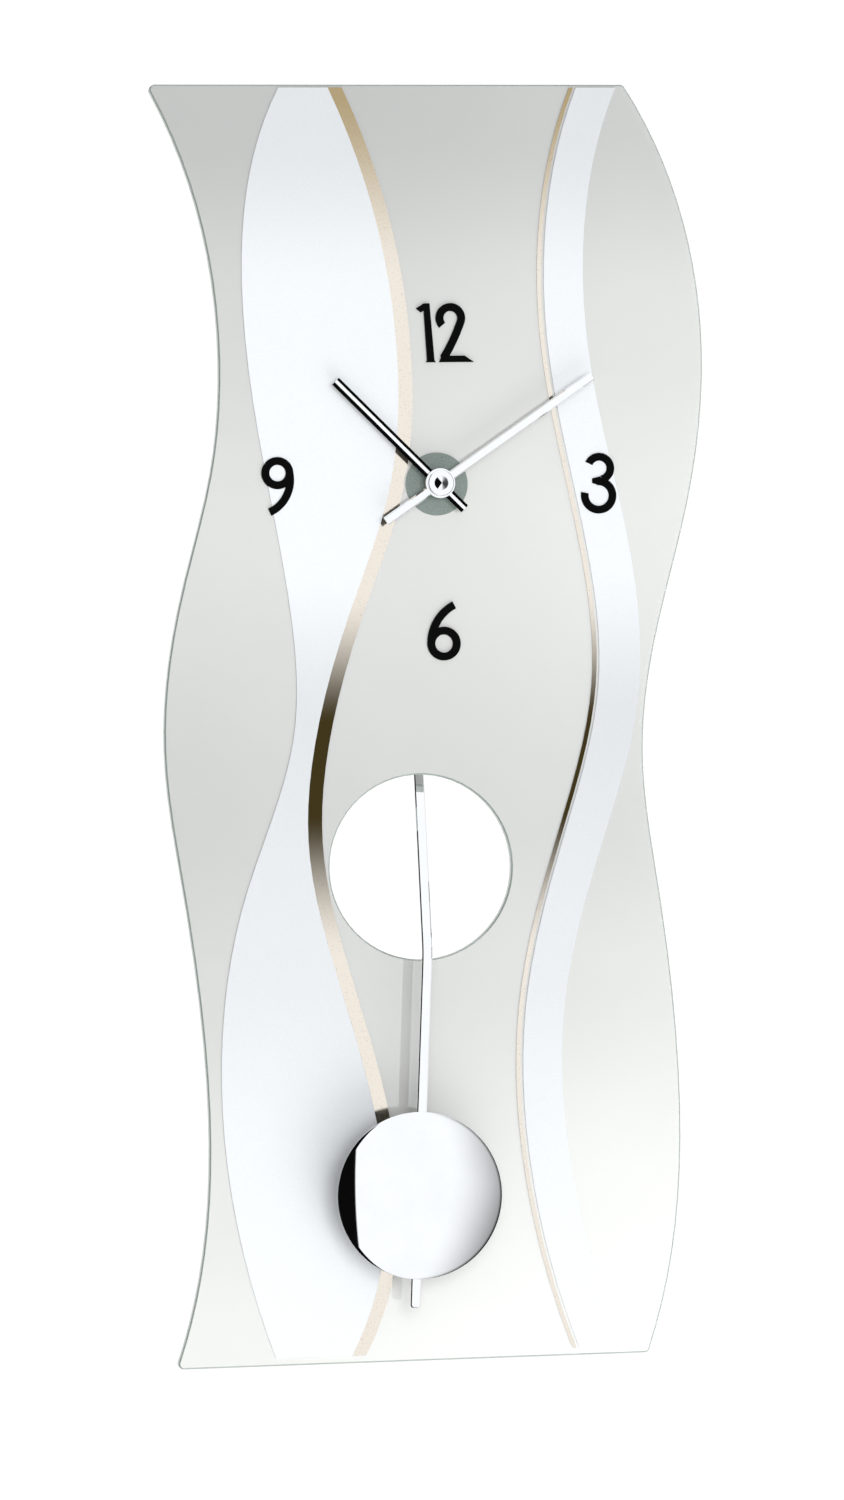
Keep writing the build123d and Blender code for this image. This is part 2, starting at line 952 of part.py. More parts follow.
screw_end = plate_front + screw_into_boss
slot_length = screw_head * screw_slot_reach
with BuildPart() as case_screws:
    for screw_place in [*plate_screws, corner_screw]:
        extrude(
            ring(dial_plane(case_gap, screw_place), screw_head), amount=screw_head_thickness
        )
        extrude(
            ring(dial_plane(case_gap, screw_place), screw_diameter), amount=screw_end - case_gap
        )
        with BuildSketch(dial_plane(case_gap, screw_place)):
            Rectangle(slot_length, screw_slot)
            Rectangle(screw_slot, slot_length)
        extrude(amount=screw_head_thickness / 2, mode=Mode.SUBTRACT)
keep(case_screws, "case_screws")


# Battery, contacts and electrics ---------------------------------------------------------------

battery_across = (bay_left + inner_right) / 2
battery_depth = inner_front - battery_clearance - battery_diameter / 2
battery_low = inner_bottom + battery_foot
battery_base = Plane(origin=(battery_across, -battery_depth, battery_low - hang_rise))

with BuildPart() as battery:
    with BuildSketch(battery_base):
        Circle(battery_diameter / 2)
    extrude(amount=battery_length - battery_nub)
    fillet(battery.edges(), battery_round)
    with BuildSketch(battery_base.offset(battery_length - battery_nub)):
        Circle(battery_nub_diameter / 2)
    extrude(amount=battery_nub)
keep(battery, "battery")

contact_half = battery_diameter / 2 - contact_inset
contact_back = battery_depth - contact_width / 2
battery_top = battery_low + battery_length

with BuildPart() as contact_positive:
    positive_path = [
        (-contact_half, shelf_height),
        (-contact_half, battery_top + contact_sheet / 2),
        (contact_half, battery_top + contact_sheet / 2),
        (contact_half, shelf_height),
    ]
    contact_plane = dial_plane(contact_back, (battery_across, 0))
    extrude(
        strip(contact_plane, positive_path, contact_bend, contact_sheet), amount=contact_width
    )
keep(contact_positive, "battery_contact_positive")

with BuildPart() as contact_negative:
    foot_height = inner_bottom + contact_sheet / 2 + spring_contact_lift
    crown_height = battery_low - contact_sheet / 2
    with BuildSketch(dial_plane(contact_back, (battery_across, 0))):
        with BuildLine():
            ThreePointArc(
                (-contact_half, foot_height), (0, crown_height), (contact_half, foot_height)
            )
        trace(line_width=contact_sheet)
    extrude(amount=contact_width)
keep(contact_negative, "battery_contact_negative")

with BuildPart() as circuit_board:
    extrude(
        block(dial_plane(board_back), board_low, board_high, board_corner), amount=board_thickness
    )
keep(circuit_board, "circuit_board")

chip_low = (board_low[0] + chip_inset[0], board_low[1] + chip_inset[1])
chip_high = (chip_low[0] + chip_length, chip_low[1] + chip_height)
with BuildPart() as timer_chip:
    extrude(
        block(dial_plane(board_back - chip_thickness), chip_low, chip_high, chip_corner),
        amount=chip_thickness,
    )
keep(timer_chip, "timer_chip")

crystal_across = board_high[0] - crystal_inset[0]
crystal_foot = board_low[1] + crystal_inset[1] - hang_rise
crystal_base = Plane(origin=(crystal_across, -(board_back - crystal_radius), crystal_foot))
with BuildPart() as quartz_crystal:
    with BuildSketch(crystal_base):
        Circle(crystal_radius)
    extrude(amount=crystal_length)
    fillet(quartz_crystal.faces().sort_by(Axis.Z)[-1].edges(), crystal_round)
keep(quartz_crystal, "quartz_crystal")

drive_coil_place = (0.0, pivot_rise - magnet_drop)
with BuildPart() as drive_coil:
    coil_plane = dial_plane(plate_front, drive_coil_place)
    extrude(ring(coil_plane, drive_coil_diameter, drive_coil_bore), amount=drive_coil_length)
    winding_back = dial_plane(plate_front + drive_coil_flange, drive_coil_place)
    winding_inside = drive_coil_diameter - 2 * drive_coil_groove
    extrude(
        ring(winding_back, drive_coil_diameter + drive_coil_groove, winding_inside),
        amount=drive_coil_length - 2 * drive_coil_flange,
        mode=Mode.SUBTRACT,
    )
keep(drive_coil, "pendulum_drive_coil")

# The stator is a frame: a plate round the rotor, two legs, and the core bar inside the coil
stator_left = inner_left + stator_left_gap
coil_height = inner_top - core_below_wall
plate_right = rotor_place[0] + stator_beside_rotor
plate_low = rotor_place[1] - stator_below_rotor
shoulder_height = rotor_place[1] + stator_shoulder
window_low = rotor_place[1] + stator_window_above_rotor
with BuildPart() as stator:
    with BuildSketch(dial_plane(stator_back)):
        with BuildLine():
            Polyline(
                (stator_left, plate_low),
                (plate_right, plate_low),
                (plate_right, shoulder_height),
                (stator_right, shoulder_height),
                (stator_right, coil_height + core_height / 2),
                (stator_left, coil_height + core_height / 2),
                close=True,
            )
        make_face()
        frame_high = coil_height - core_height / 2
        with Locations(((stator_left + stator_right) / 2, (window_low + frame_high) / 2)):
            Rectangle(
                stator_right - stator_left - 2 * stator_leg,
                frame_high - window_low,
                mode=Mode.SUBTRACT,
            )
        with Locations(rotor_place):
            Circle(rotor_magnet_diameter / 2 + rotor_gap, mode=Mode.SUBTRACT)
    extrude(amount=stator_thickness)
keep(stator, "motor_stator")

coil_left = stator_left + stator_leg + motor_coil_end_gap
coil_right = stator_right - stator_leg - motor_coil_end_gap
coil_start = Plane(
    origin=(coil_left, -(stator_back + stator_thickness / 2), coil_height - hang_rise),
    x_dir=(0, -1, 0),
    z_dir=(1, 0, 0),
)
with BuildPart() as motor_coil:
    with BuildSketch(coil_start):
        Circle(motor_coil_diameter / 2)
        Rectangle(stator_thickness, core_height, mode=Mode.SUBTRACT)
    extrude(amount=coil_right - coil_left)
    with BuildSketch(coil_start.offset(motor_coil_flange)):
        Circle(motor_coil_diameter / 2 + motor_coil_groove)
        Circle(motor_coil_diameter / 2 - motor_coil_groove, mode=Mode.SUBTRACT)
    extrude(amount=coil_right - coil_left - 2 * motor_coil_flange, mode=Mode.SUBTRACT)
keep(motor_coil, "motor_coil")


# Wheels: each arbor is one moulding with its wheel and pinion ------------------------------------

pivot_end_play = 0.1
pivot_inset = 0.2
pivot_front = inner_front + pivot_depth - pivot_end_play
pivot_back = plate_back + pivot_inset


def moulded_arbor(place, wheel_back, wheel_teeth, wheel_module, wheel_turn, pinion):
    """An arbor with its wheel, and a pinion given as (depth, teeth, module, turn)."""
    pinion_back, pinion_teeth, pinion_module, pinion_turn = pinion
    pinion_length = wheel_thickness + 2 * pinion_extra
    with BuildPart() as wheel:
        extrude(ring(dial_plane(pivot_back, place), pivot_diameter), amount=pivot_front - pivot_back)
        extrude(
            gear(dial_plane(wheel_back, place), wheel_teeth, wheel_module, wheel_turn),
            amount=wheel_thickness,
        )
        extrude(
            gear(
                dial_plane(pinion_back - pinion_extra, place),
                pinion_teeth,
                pinion_module,
                pinion_turn,
            ),
            amount=pinion_length,
        )
    return wheel


third_wheel_turn = mesh_turn(0, second_pinion_teeth, second_direction + 180, third_wheel_teeth)
third_wheel = moulded_arbor(
    third_place,
    third_wheel_back,
    third_wheel_teeth,
    train_module,
    third_wheel_turn,
    (centre_wheel_back, third_pinion_teeth, train_module, 0),
)
keep(third_wheel, "third_wheel")

second_wheel = moulded_arbor(
    second_place,
    second_wheel_back,
    second_wheel_teeth,
    fine_module,
    0,
    (third_wheel_back, second_pinion_teeth, train_module, 0),
)
keep(second_wheel, "second_wheel")

intermediate_pinion_turn = mesh_turn(
    0, second_wheel_teeth, intermediate_direction, intermediate_pinion_teeth
)
intermediate_wheel = moulded_arbor(
    intermediate_place,
    intermediate_wheel_back,
    intermediate_wheel_teeth,
    fine_module,
    0,
    (second_wheel_back, intermediate_pinion_teeth, fine_module, intermediate_pinion_turn),
)
keep(intermediate_wheel, "intermediate_wheel")

rotor_pinion_turn = mesh_turn(0, intermediate_wheel_teeth, rotor_direction, rotor_pinion_teeth)
rotor_middle = stator_back + stator_thickness / 2
with BuildPart() as rotor:
    extrude(ring(dial_plane(pivot_back, rotor_place), pivot_diameter), amount=pivot_front - pivot_back)
    extrude(
        gear(
            dial_plane(intermediate_wheel_back - pinion_extra, rotor_place),
            rotor_pinion_teeth,
            fine_module,
            rotor_pinion_turn,
        ),
        amount=wheel_thickness + 2 * pinion_extra,
    )
    extrude(
        ring(dial_plane(rotor_middle - rotor_magnet_length / 2, rotor_place), rotor_magnet_diameter),
        amount=rotor_magnet_length,
    )
keep(rotor, "motor_rotor")

centre_wheel_turn = mesh_turn(0, third_pinion_teeth, third_direction + 180, centre_wheel_teeth)
with BuildPart() as centre_wheel:
    extrude(
        gear(dial_plane(centre_wheel_back), centre_wheel_teeth, train_module, centre_wheel_turn),
        amount=wheel_thickness,
    )
    extrude(
        ring(dial_plane(centre_wheel_back), arbor_diameter + 2 * running_clearance),
        amount=wheel_thickness,
        mode=Mode.SUBTRACT,
    )
keep(centre_wheel, "centre_wheel")

collar_gap = 0.1
collar_length = 0.8
collar_wall = 0.9
cap_floor = 0.6  # left in front of the arbor
arbor_front = minute_boss_front + cap_thickness - cap_floor
with BuildPart() as minute_arbor:
    collar_front = centre_wheel_back - collar_gap
    extrude(
        ring(dial_plane(pivot_back), pivot_diameter), amount=collar_front - pivot_back
    )
    extrude(
        ring(dial_plane(collar_front - collar_length), arbor_diameter + 2 * collar_wall),
        amount=collar_length,
    )
    extrude(
        ring(dial_plane(collar_front - collar_length), arbor_diameter),
        amount=arbor_front - collar_front + collar_length,
    )
    extrude(
        gear(dial_plane(motion_wheel_back - pinion_extra), cannon_teeth, cannon_module, 0),
        amount=wheel_thickness + 2 * pinion_extra,
    )
keep(minute_arbor, "minute_arbor")

spring_sheet = 0.3
spring_lobes = 3
spring_lobe_reach = 4.6
spring_lobe_width = 1.6
spring_wall = 0.8
spring_back = centre_wheel_back + wheel_thickness + collar_gap
with BuildPart() as friction_spring:
    with BuildSketch(dial_plane(spring_back)):
        Circle(arbor_diameter / 2 + spring_wall)
        for lobe in range(spring_lobes):
            lobe_angle = 2 * pi * lobe / spring_lobes
            lobe_end = (spring_lobe_reach * cos(lobe_angle), spring_lobe_reach * sin(lobe_angle))
            with BuildLine(mode=Mode.PRIVATE) as lobe_line:
                Line((0, 0), lobe_end)
            trace(lobe_line.line, line_width=spring_lobe_width)
        Circle(arbor_diameter / 2, mode=Mode.SUBTRACT)
    extrude(amount=spring_sheet)
keep(friction_spring, "friction_spring")

motion_wheel_turn = mesh_turn(0, cannon_teeth, motion_direction, motion_wheel_teeth)
with BuildPart() as motion_wheel:
    extrude(
        gear(
            dial_plane(motion_wheel_back, motion_place),
            motion_wheel_teeth,
            cannon_module,
            motion_wheel_turn,
        ),
        amount=wheel_thickness,
    )
    extrude(
        gear(dial_plane(motion_wheel_back, motion_place), motion_pinion_teeth, hour_module, 0),
        amount=hour_wheel_back + wheel_thickness + pinion_extra - motion_wheel_back,
    )
    extrude(
        ring(
            dial_plane(motion_wheel_back, motion_place),
            motion_post_diameter + 2 * running_clearance,
        ),
        amount=hour_wheel_back + wheel_thickness + pinion_extra - motion_wheel_back,
        mode=Mode.SUBTRACT,
    )
keep(motion_wheel, "motion_wheel")

hour_wheel_turn = mesh_turn(0, motion_pinion_teeth, motion_direction + 180, hour_wheel_teeth)
with BuildPart() as hour_wheel:
    extrude(
        gear(dial_plane(hour_wheel_back), hour_wheel_teeth, hour_module, hour_wheel_turn),
        amount=wheel_thickness,
    )
    extrude(
        ring(dial_plane(hour_wheel_back), tube_diameter), amount=hour_boss_front - hour_wheel_back
    )
    extrude(
        ring(dial_plane(hour_wheel_back), arbor_diameter + 2 * running_clearance),
        amount=hour_boss_front - hour_wheel_back,
        mode=Mode.SUBTRACT,
    )
keep(hour_wheel, "hour_wheel")

set_pinion_turn = mesh_turn(motion_wheel_turn, motion_wheel_teeth, set_direction, set_pinion_teeth)
knob_back = case_gap - knob_gap - knob_thickness
with BuildPart() as set_shaft:
    extrude(
        ring(dial_plane(knob_back, set_place), shaft_diameter),
        amount=inner_front - knob_gap - knob_back,
    )
    extrude(
        ring(dial_plane(knob_back, set_place), pivot_diameter), amount=pivot_front - knob_back
    )
    extrude(
        gear(
            dial_plane(motion_wheel_back - pinion_extra, set_place),
            set_pinion_teeth,
            cannon_module,
            set_pinion_turn,
        ),
        amount=wheel_thickness + 2 * pinion_extra,
    )
keep(set_shaft, "set_shaft")

with BuildPart() as set_knob:
    with BuildSketch(dial_plane(knob_back, set_place)):
        Circle(knob_diameter / 2)
        with PolarLocations(knob_diameter / 2, knob_flutes):
            Circle(knob_flute_radius, mode=Mode.SUBTRACT)
        Circle(shaft_diameter / 2, mode=Mode.SUBTRACT)
    extrude(amount=knob_thickness)
keep(set_knob, "set_knob")


# Hands -------------------------------------------------------------------------------------------


def hand_section(turn, tail, width, ridge, depth):
    """The bevelled section of a hand, at its tail end, square to its length."""
    angle = radians(turn)
    start = Plane(
        origin=(-tail * sin(angle), -depth, -hang_rise - tail * cos(angle)),
        x_dir=(cos(angle), 0, -sin(angle)),
        z_dir=(sin(angle), 0, cos(angle)),
    )
    with BuildSketch(start) as face:
        with BuildLine():
            Polyline(
                (-width / 2, 0),
                (width / 2, 0),
                (ridge / 2, -hand_thickness),
                (-ridge / 2, -hand_thickness),
                close=True,
            )
        make_face()
    return face.sketch


with BuildPart() as hour_hand:
    hour_back = hour_boss_back + hand_in_boss
    extrude(
        hand_section(hour_turn, hour_tail, hour_width, hand_ridge, hour_back),
        amount=hour_tail + hour_reach,
    )
    extrude(ring(dial_plane(hour_boss_back), hour_boss_diameter), amount=boss_thickness)
    extrude(
        ring(dial_plane(hour_boss_back), tube_diameter),
        amount=boss_thickness,
        mode=Mode.SUBTRACT,
    )
keep(hour_hand, "hour_hand")

with BuildPart() as minute_hand:
    minute_back = minute_boss_back + hand_in_boss
    extrude(
        hand_section(minute_turn, minute_tail, minute_width, 2 * hand_ridge, minute_back),
        amount=minute_tail + minute_reach,
    )
    extrude(ring(dial_plane(minute_boss_back), minute_boss_diameter), amount=boss_thickness)
    extrude(
        ring(dial_plane(minute_boss_back), arbor_diameter),
        amount=boss_thickness,
        mode=Mode.SUBTRACT,
    )
keep(minute_hand, "minute_hand")

with BuildPart() as hand_nut:
    extrude(ring(dial_plane(minute_boss_front), cap_diameter), amount=cap_thickness)
    fillet(hand_nut.faces().sort_by(Axis.Y)[0].edges(), cap_round)
    cap_front = minute_boss_front + cap_thickness
    extrude(
        ring(dial_plane(minute_boss_front), arbor_diameter),
        amount=arbor_front - minute_boss_front,
        mode=Mode.SUBTRACT,
    )
    with BuildSketch(dial_plane(cap_front)):
        Circle(cap_cone_diameter / 2)
    with BuildSketch(dial_plane(cap_front + cap_cone_height)):
        Circle(cap_cone_point)
    loft()
keep(hand_nut, "hand_nut")


# Pendulum ------------------------------------------------------------------------------------------

with BuildPart() as pivot_pin:
    extrude(
        ring(dial_plane(inner_back - pin_socket, (0, pivot_rise)), pivot_pin_diameter),
        amount=plate_front - inner_back + pin_socket,
    )
keep(pivot_pin, "pendulum_pivot_pin")

hook_drop = lever_reach - hook_above_tip
rod_back_depth = lever_front
rod_mid_back = rod_back_depth + rod_thickness / 2
rod_mid_front = rod_front - rod_thickness / 2
rod_top_drop = hook_drop - rod_above_hook

with BuildPart() as pendulum_lever:
    extrude(
        block(
            pendulum_plane(lever_back),
            (-lever_width / 2, -lever_reach),
            (lever_width / 2, lever_width),
            lever_width / 2 - lever_tip_play,
        ),
        amount=lever_thickness,
    )
    extrude(ring(pendulum_plane(lever_back), 2 * lever_width), amount=lever_thickness)
    extrude(
        ring(pendulum_plane(lever_back, magnet_drop), magnet_diameter + 2 * magnet_wall),
        amount=lever_thickness,
    )
    extrude(
        block(
            pendulum_plane(lever_back, hook_drop),
            (-lever_head / 2, -lever_head_below),
            (lever_head / 2, lever_head_above),
            lever_head_corner,
        ),
        amount=lever_thickness,
    )
    # Moulded pin that the rod's eye hangs on
    extrude(
        ring(pendulum_plane(lever_back, hook_drop), hook_pin_diameter),
        amount=lever_thickness + rod_thickness + hook_beyond_rod,
    )
    extrude(
        ring(pendulum_plane(lever_back), pivot_pin_diameter + 2 * running_clearance),
        amount=lever_thickness,
        mode=Mode.SUBTRACT,
    )
    extrude(
        ring(pendulum_plane(lever_back, magnet_drop), magnet_diameter),
        amount=lever_thickness,
        mode=Mode.SUBTRACT,
    )
keep(pendulum_lever, "pendulum_lever")

with BuildPart() as drive_magnet:
    magnet_back = lever_back - (magnet_thickness - lever_thickness) / 2
    extrude(
        ring(pendulum_plane(magnet_back, magnet_drop), magnet_diameter), amount=magnet_thickness
    )
keep(drive_magnet, "drive_magnet")

window_below_pivot = pivot_rise - window_place[1]
crank_middle = window_below_pivot - crank_rise
rod_end = bob_drop + bob_diameter / 2 + rod_past_bob

with BuildPart() as pendulum_rod:
    rod_path = [
        (rod_mid_back, -rod_top_drop),
        (rod_mid_back, -(crank_middle - crank_run / 2)),
        (rod_mid_front, -(crank_middle + crank_run / 2)),
        (rod_mid_front, -rod_end),
    ]
    extrude(
        strip(pendulum_side_plane(), rod_path, rod_bend, rod_thickness),
        amount=rod_width / 2,
        both=True,
    )
    rod_corners = pendulum_rod.edges().filter_by(Axis.Y).group_by(Axis.Z)
    fillet(rod_corners[0] + rod_corners[1], rod_tip_radius)
    chamfer(pendulum_rod.edges().filter_by(Axis.Y, reverse=True), rod_edge)
    extrude(ring(pendulum_plane(rod_back_depth, hook_drop), eye_diameter), amount=rod_thickness)
    extrude(
        ring(pendulum_plane(rod_back_depth, hook_drop), hook_pin_diameter + eye_clearance),
        amount=rod_thickness,
        mode=Mode.SUBTRACT,
    )
keep(pendulum_rod, "pendulum_rod")

back_plate_diameter = bob_diameter - 2 * back_plate_inset
with BuildPart() as bob_back:
    extrude(ring(pendulum_plane(rod_front, bob_drop), back_plate_diameter), amount=bob_sheet)
keep(bob_back, "bob_back_plate")

dome_back = rod_front + bob_sheet
dome_plane = pendulum_plane(0, bob_drop)
dome_axis = Axis(dome_plane.origin, dome_plane.z_dir)
with BuildPart() as bob_dome:
    rim = bob_diameter / 2
    drop_line = -bob_drop
    with BuildSketch(pendulum_side_plane()):
        with BuildLine():
            outer_radius = (rim**2 + bob_rise**2) / (2 * bob_rise)
            outer = RadiusArc(
                (dome_back + bob_sheet, drop_line + rim),
                (dome_back + bob_sheet + bob_rise, drop_line),
                outer_radius,
            )
            Line(outer @ 1, (dome_back + bob_rise, drop_line))
            inner = RadiusArc(
                (dome_back + bob_rise, drop_line),
                (dome_back, drop_line + rim - rim_lip),
                -outer_radius,
            )
            Line(inner @ 1, (dome_back, drop_line + rim))
            Line((dome_back, drop_line + rim), outer @ 0)
        make_face()
    revolve(axis=dome_axis)
keep(bob_dome, "bob_dome")

with BuildPart() as bob_clip:
    clip_back = rod_front - rod_thickness - clip_play - bob_sheet
    clip_plane = pendulum_plane(clip_back, bob_drop)
    extrude(
        block(
            clip_plane,
            (-clip_width / 2, -clip_height / 2),
            (clip_width / 2, clip_height / 2),
            clip_corner,
        ),
        amount=rod_front - clip_back,
    )
    rod_channel = pendulum_plane(clip_back + bob_sheet, bob_drop)
    extrude(
        block(
            rod_channel,
            (-rod_width / 2 - clip_play, -clip_height),
            (rod_width / 2 + clip_play, clip_height),
        ),
        amount=rod_thickness + clip_play,
        mode=Mode.SUBTRACT,
    )
keep(bob_clip, "bob_clip")
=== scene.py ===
from math import asin, cos, pi, radians, sin, sqrt

import bmesh
import bpy
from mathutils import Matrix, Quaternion, Vector


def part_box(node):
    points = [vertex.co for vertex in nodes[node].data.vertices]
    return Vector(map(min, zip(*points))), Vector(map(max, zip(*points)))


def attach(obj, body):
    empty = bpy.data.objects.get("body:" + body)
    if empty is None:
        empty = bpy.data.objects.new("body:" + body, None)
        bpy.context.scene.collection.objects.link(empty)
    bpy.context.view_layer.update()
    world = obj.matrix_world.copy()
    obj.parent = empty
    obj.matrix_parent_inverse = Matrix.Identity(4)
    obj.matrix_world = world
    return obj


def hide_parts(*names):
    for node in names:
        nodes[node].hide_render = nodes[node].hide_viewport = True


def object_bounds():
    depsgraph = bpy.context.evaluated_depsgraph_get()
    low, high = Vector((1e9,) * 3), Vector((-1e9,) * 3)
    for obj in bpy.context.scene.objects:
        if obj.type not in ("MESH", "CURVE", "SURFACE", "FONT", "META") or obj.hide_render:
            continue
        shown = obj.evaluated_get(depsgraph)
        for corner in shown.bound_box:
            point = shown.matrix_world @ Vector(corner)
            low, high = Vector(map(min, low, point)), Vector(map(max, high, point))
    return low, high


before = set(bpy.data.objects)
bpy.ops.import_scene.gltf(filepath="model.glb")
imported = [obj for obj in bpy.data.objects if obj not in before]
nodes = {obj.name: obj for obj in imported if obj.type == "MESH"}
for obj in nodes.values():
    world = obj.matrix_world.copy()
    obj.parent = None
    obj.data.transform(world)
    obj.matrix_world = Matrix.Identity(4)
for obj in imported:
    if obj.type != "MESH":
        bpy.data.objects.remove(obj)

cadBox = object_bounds()
scene = bpy.context.scene
print("frame loaded:", len(nodes), "nodes")

mm = 0.001
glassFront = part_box("glass_panel")[0].y
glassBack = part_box("glass_panel")[1].y


# Small tools for node trees; an input may be a value or another node's output
def addNode(tree, kind, settings=None, inputs=None):
    node = tree.nodes.new(kind)
    for name, value in (settings or {}).items():
        setattr(node, name, value)
    for name, value in (inputs or {}).items():
        socket = node.inputs[name]
        if isinstance(value, bpy.types.NodeSocket):
            tree.links.new(value, socket)
        else:
            socket.default_value = value
    return node


def mathNode(tree, operation, first, second=0.0):
    settings = {"operation": operation}
    return addNode(tree, "ShaderNodeMath", settings, {0: first, 1: second}).outputs[0]


def remap(tree, value, low, high, toLow=0.0, toHigh=1.0, smooth=True):
    kind = "SMOOTHSTEP" if smooth else "LINEAR"
    node = addNode(
        tree, "ShaderNodeMapRange", {"interpolation_type": kind, "clamp": True},
        {"Value": value, "From Min": low, "From Max": high, "To Min": toLow, "To Max": toHigh},
    )
    return node.outputs["Result"]


def spread(tree, grain, low, high):
    return remap(tree, grain, 0.3, 0.7, low, high)  # nearly all of a noise lies between these two


def mixColour(tree, factor, first, second, blend="MIX"):
    settings = {"data_type": "RGBA", "blend_type": blend}
    return addNode(tree, "ShaderNodeMix", settings, {0: factor, 6: first, 7: second}).outputs[2]


def mixValue(tree, factor, first, second):
    settings = {"data_type": "FLOAT"}
    return addNode(tree, "ShaderNodeMix", settings, {0: factor, 2: first, 3: second}).outputs[0]


def colour(red, green, blue):
    return (red, green, blue, 1.0)


def grey(value):
    return colour(value, value, value)


def dimmed(tree, tone, share):
    return mixColour(tree, 1.0, tone, grey(share), "MULTIPLY")


def splitVector(tree, vector):
    return addNode(tree, "ShaderNodeSeparateXYZ", inputs={0: vector}).outputs


# The camera stands a little to the left
cameraPlace = {
    "lens": 152.1,
    "sensor": 36,
    "distance": 2.98,
    "turn": 10.7,      # degrees to the left of the clock's own middle line
    "roll": -1.1,
    "aimAcross": -9.38 * mm,
    "aimHeight": -172.97 * mm,
    "reach": 50,       # how far it sees
}


def makeCamera(place):
    data = bpy.data.cameras.new("camera")
    data.sensor_width = place["sensor"]
    data.lens = place["lens"]
    data.clip_end = place["reach"]
    camera = bpy.data.objects.new("camera", data)
    scene.collection.objects.link(camera)
    look = Vector((sin(radians(place["turn"])), cos(radians(place["turn"])), 0))
    aim = Vector((place["aimAcross"], glassFront, place["aimHeight"]))
    camera.location = aim - look * place["distance"]
    camera.rotation_mode = "QUATERNION"
    roll = Quaternion((0, 0, 1), radians(place["roll"]))
    camera.rotation_quaternion = look.to_track_quat("-Z", "Y") @ roll
    scene.camera = camera


makeCamera(cameraPlace)

# Studio: white surroundings, a wide soft front, dark side walls
studio = {
    "backdrop": 1.04,
    "behind": 0.85,
    "behindFade": 0.12,
    "softShare": 0.5,         # how much of the surroundings reaches matt surfaces
    "front": (1.03, 1.05, 1.065),
    "dark": 0.003,
    "leftEdge": -24.3,        # where the soft front ends, degrees from straight ahead
    "leftSoftness": 0.4,
    "rightFade": (25, 76),
    "fadeSlant": 0.25,        # how much sooner it fades towards the ground
    "overhead": (43, 58),
}


def makeWorld(look):
    world = bpy.data.worlds.new("studio")
    world.use_nodes = True
    tree = world.node_tree
    tree.nodes.clear()
    scene.world = world
    direction = splitVector(tree, addNode(tree, "ShaderNodeTexCoord").outputs["Generated"])
    ahead = mathNode(tree, "MULTIPLY", direction["Y"], -1.0)
    across = mathNode(tree, "ARCTAN2", direction["X"], ahead)
    upwards = mathNode(tree, "ARCSINE", direction["Z"])
    slant = mathNode(tree, "MULTIPLY", mathNode(tree, "MINIMUM", upwards, 0.0), -look["fadeSlant"])
    turned = mathNode(tree, "ADD", across, slant)
    edges = [look["leftEdge"] - look["leftSoftness"], look["leftEdge"] + look["leftSoftness"]]
    left = remap(tree, across, *[radians(angle) for angle in edges])
    right = remap(tree, turned, *[radians(angle) for angle in look["rightFade"]], 1.0, 0.0)
    overhead = remap(tree, upwards, *[radians(angle) for angle in look["overhead"]])
    panel = mathNode(tree, "MAXIMUM", mathNode(tree, "MULTIPLY", left, right), overhead)
    front = mixColour(tree, panel, grey(look["dark"]), colour(*look["front"]))
    rear = remap(tree, direction["Y"], 0.0, look["behindFade"])
    light = mixColour(tree, rear, front, grey(look["behind"]))
    rays = addNode(tree, "ShaderNodeLightPath").outputs
    light = mixColour(tree, rays["Is Diffuse Ray"], light, dimmed(tree, light, look["softShare"]))
    light = mixColour(tree, rays["Is Camera Ray"], light, grey(look["backdrop"]))
    glow = addNode(tree, "ShaderNodeBackground", inputs={"Color": light})
    addNode(tree, "ShaderNodeOutputWorld", inputs={"Surface": glow.outputs[0]})


makeWorld(studio)

# Round soft lamps, aimed at the middle of the clock
lamps = {
    "keyLight": {"place": (-0.15, -2.2, -0.05), "size": 1.0, "power": 27.0},
    "fillLight": {"place": (0.4, -0.9, -1.1), "size": 0.9, "power": 6.0},
}


def makeLamp(name, look):
    data = bpy.data.lights.new(name, "AREA")
    data.shape = "DISK"
    data.size = look["size"]
    data.energy = look["power"]
    lamp = bpy.data.objects.new(name, data)
    scene.collection.objects.link(lamp)
    lamp.location = look["place"]
    middle = (cadBox[0] + cadBox[1]) / 2
    lamp.rotation_mode = "QUATERNION"
    lamp.rotation_quaternion = (middle - lamp.location).to_track_quat("-Z", "Y")
    lamp.visible_glossy = False
    lamp.visible_camera = False


for lampName, lampLook in lamps.items():
    makeLamp(lampName, lampLook)

# A pale floor well below the clock, lit a little from within
paleFloor = {
    "height": -1.6, "halfWidth": 9.0, "halfDepth": 6.0, "glow": 0.5, "rough": 0.7,
    "darker": colour(0.86, 0.86, 0.85), "paler": colour(0.90, 0.90, 0.89), "patches": 3.0,
}


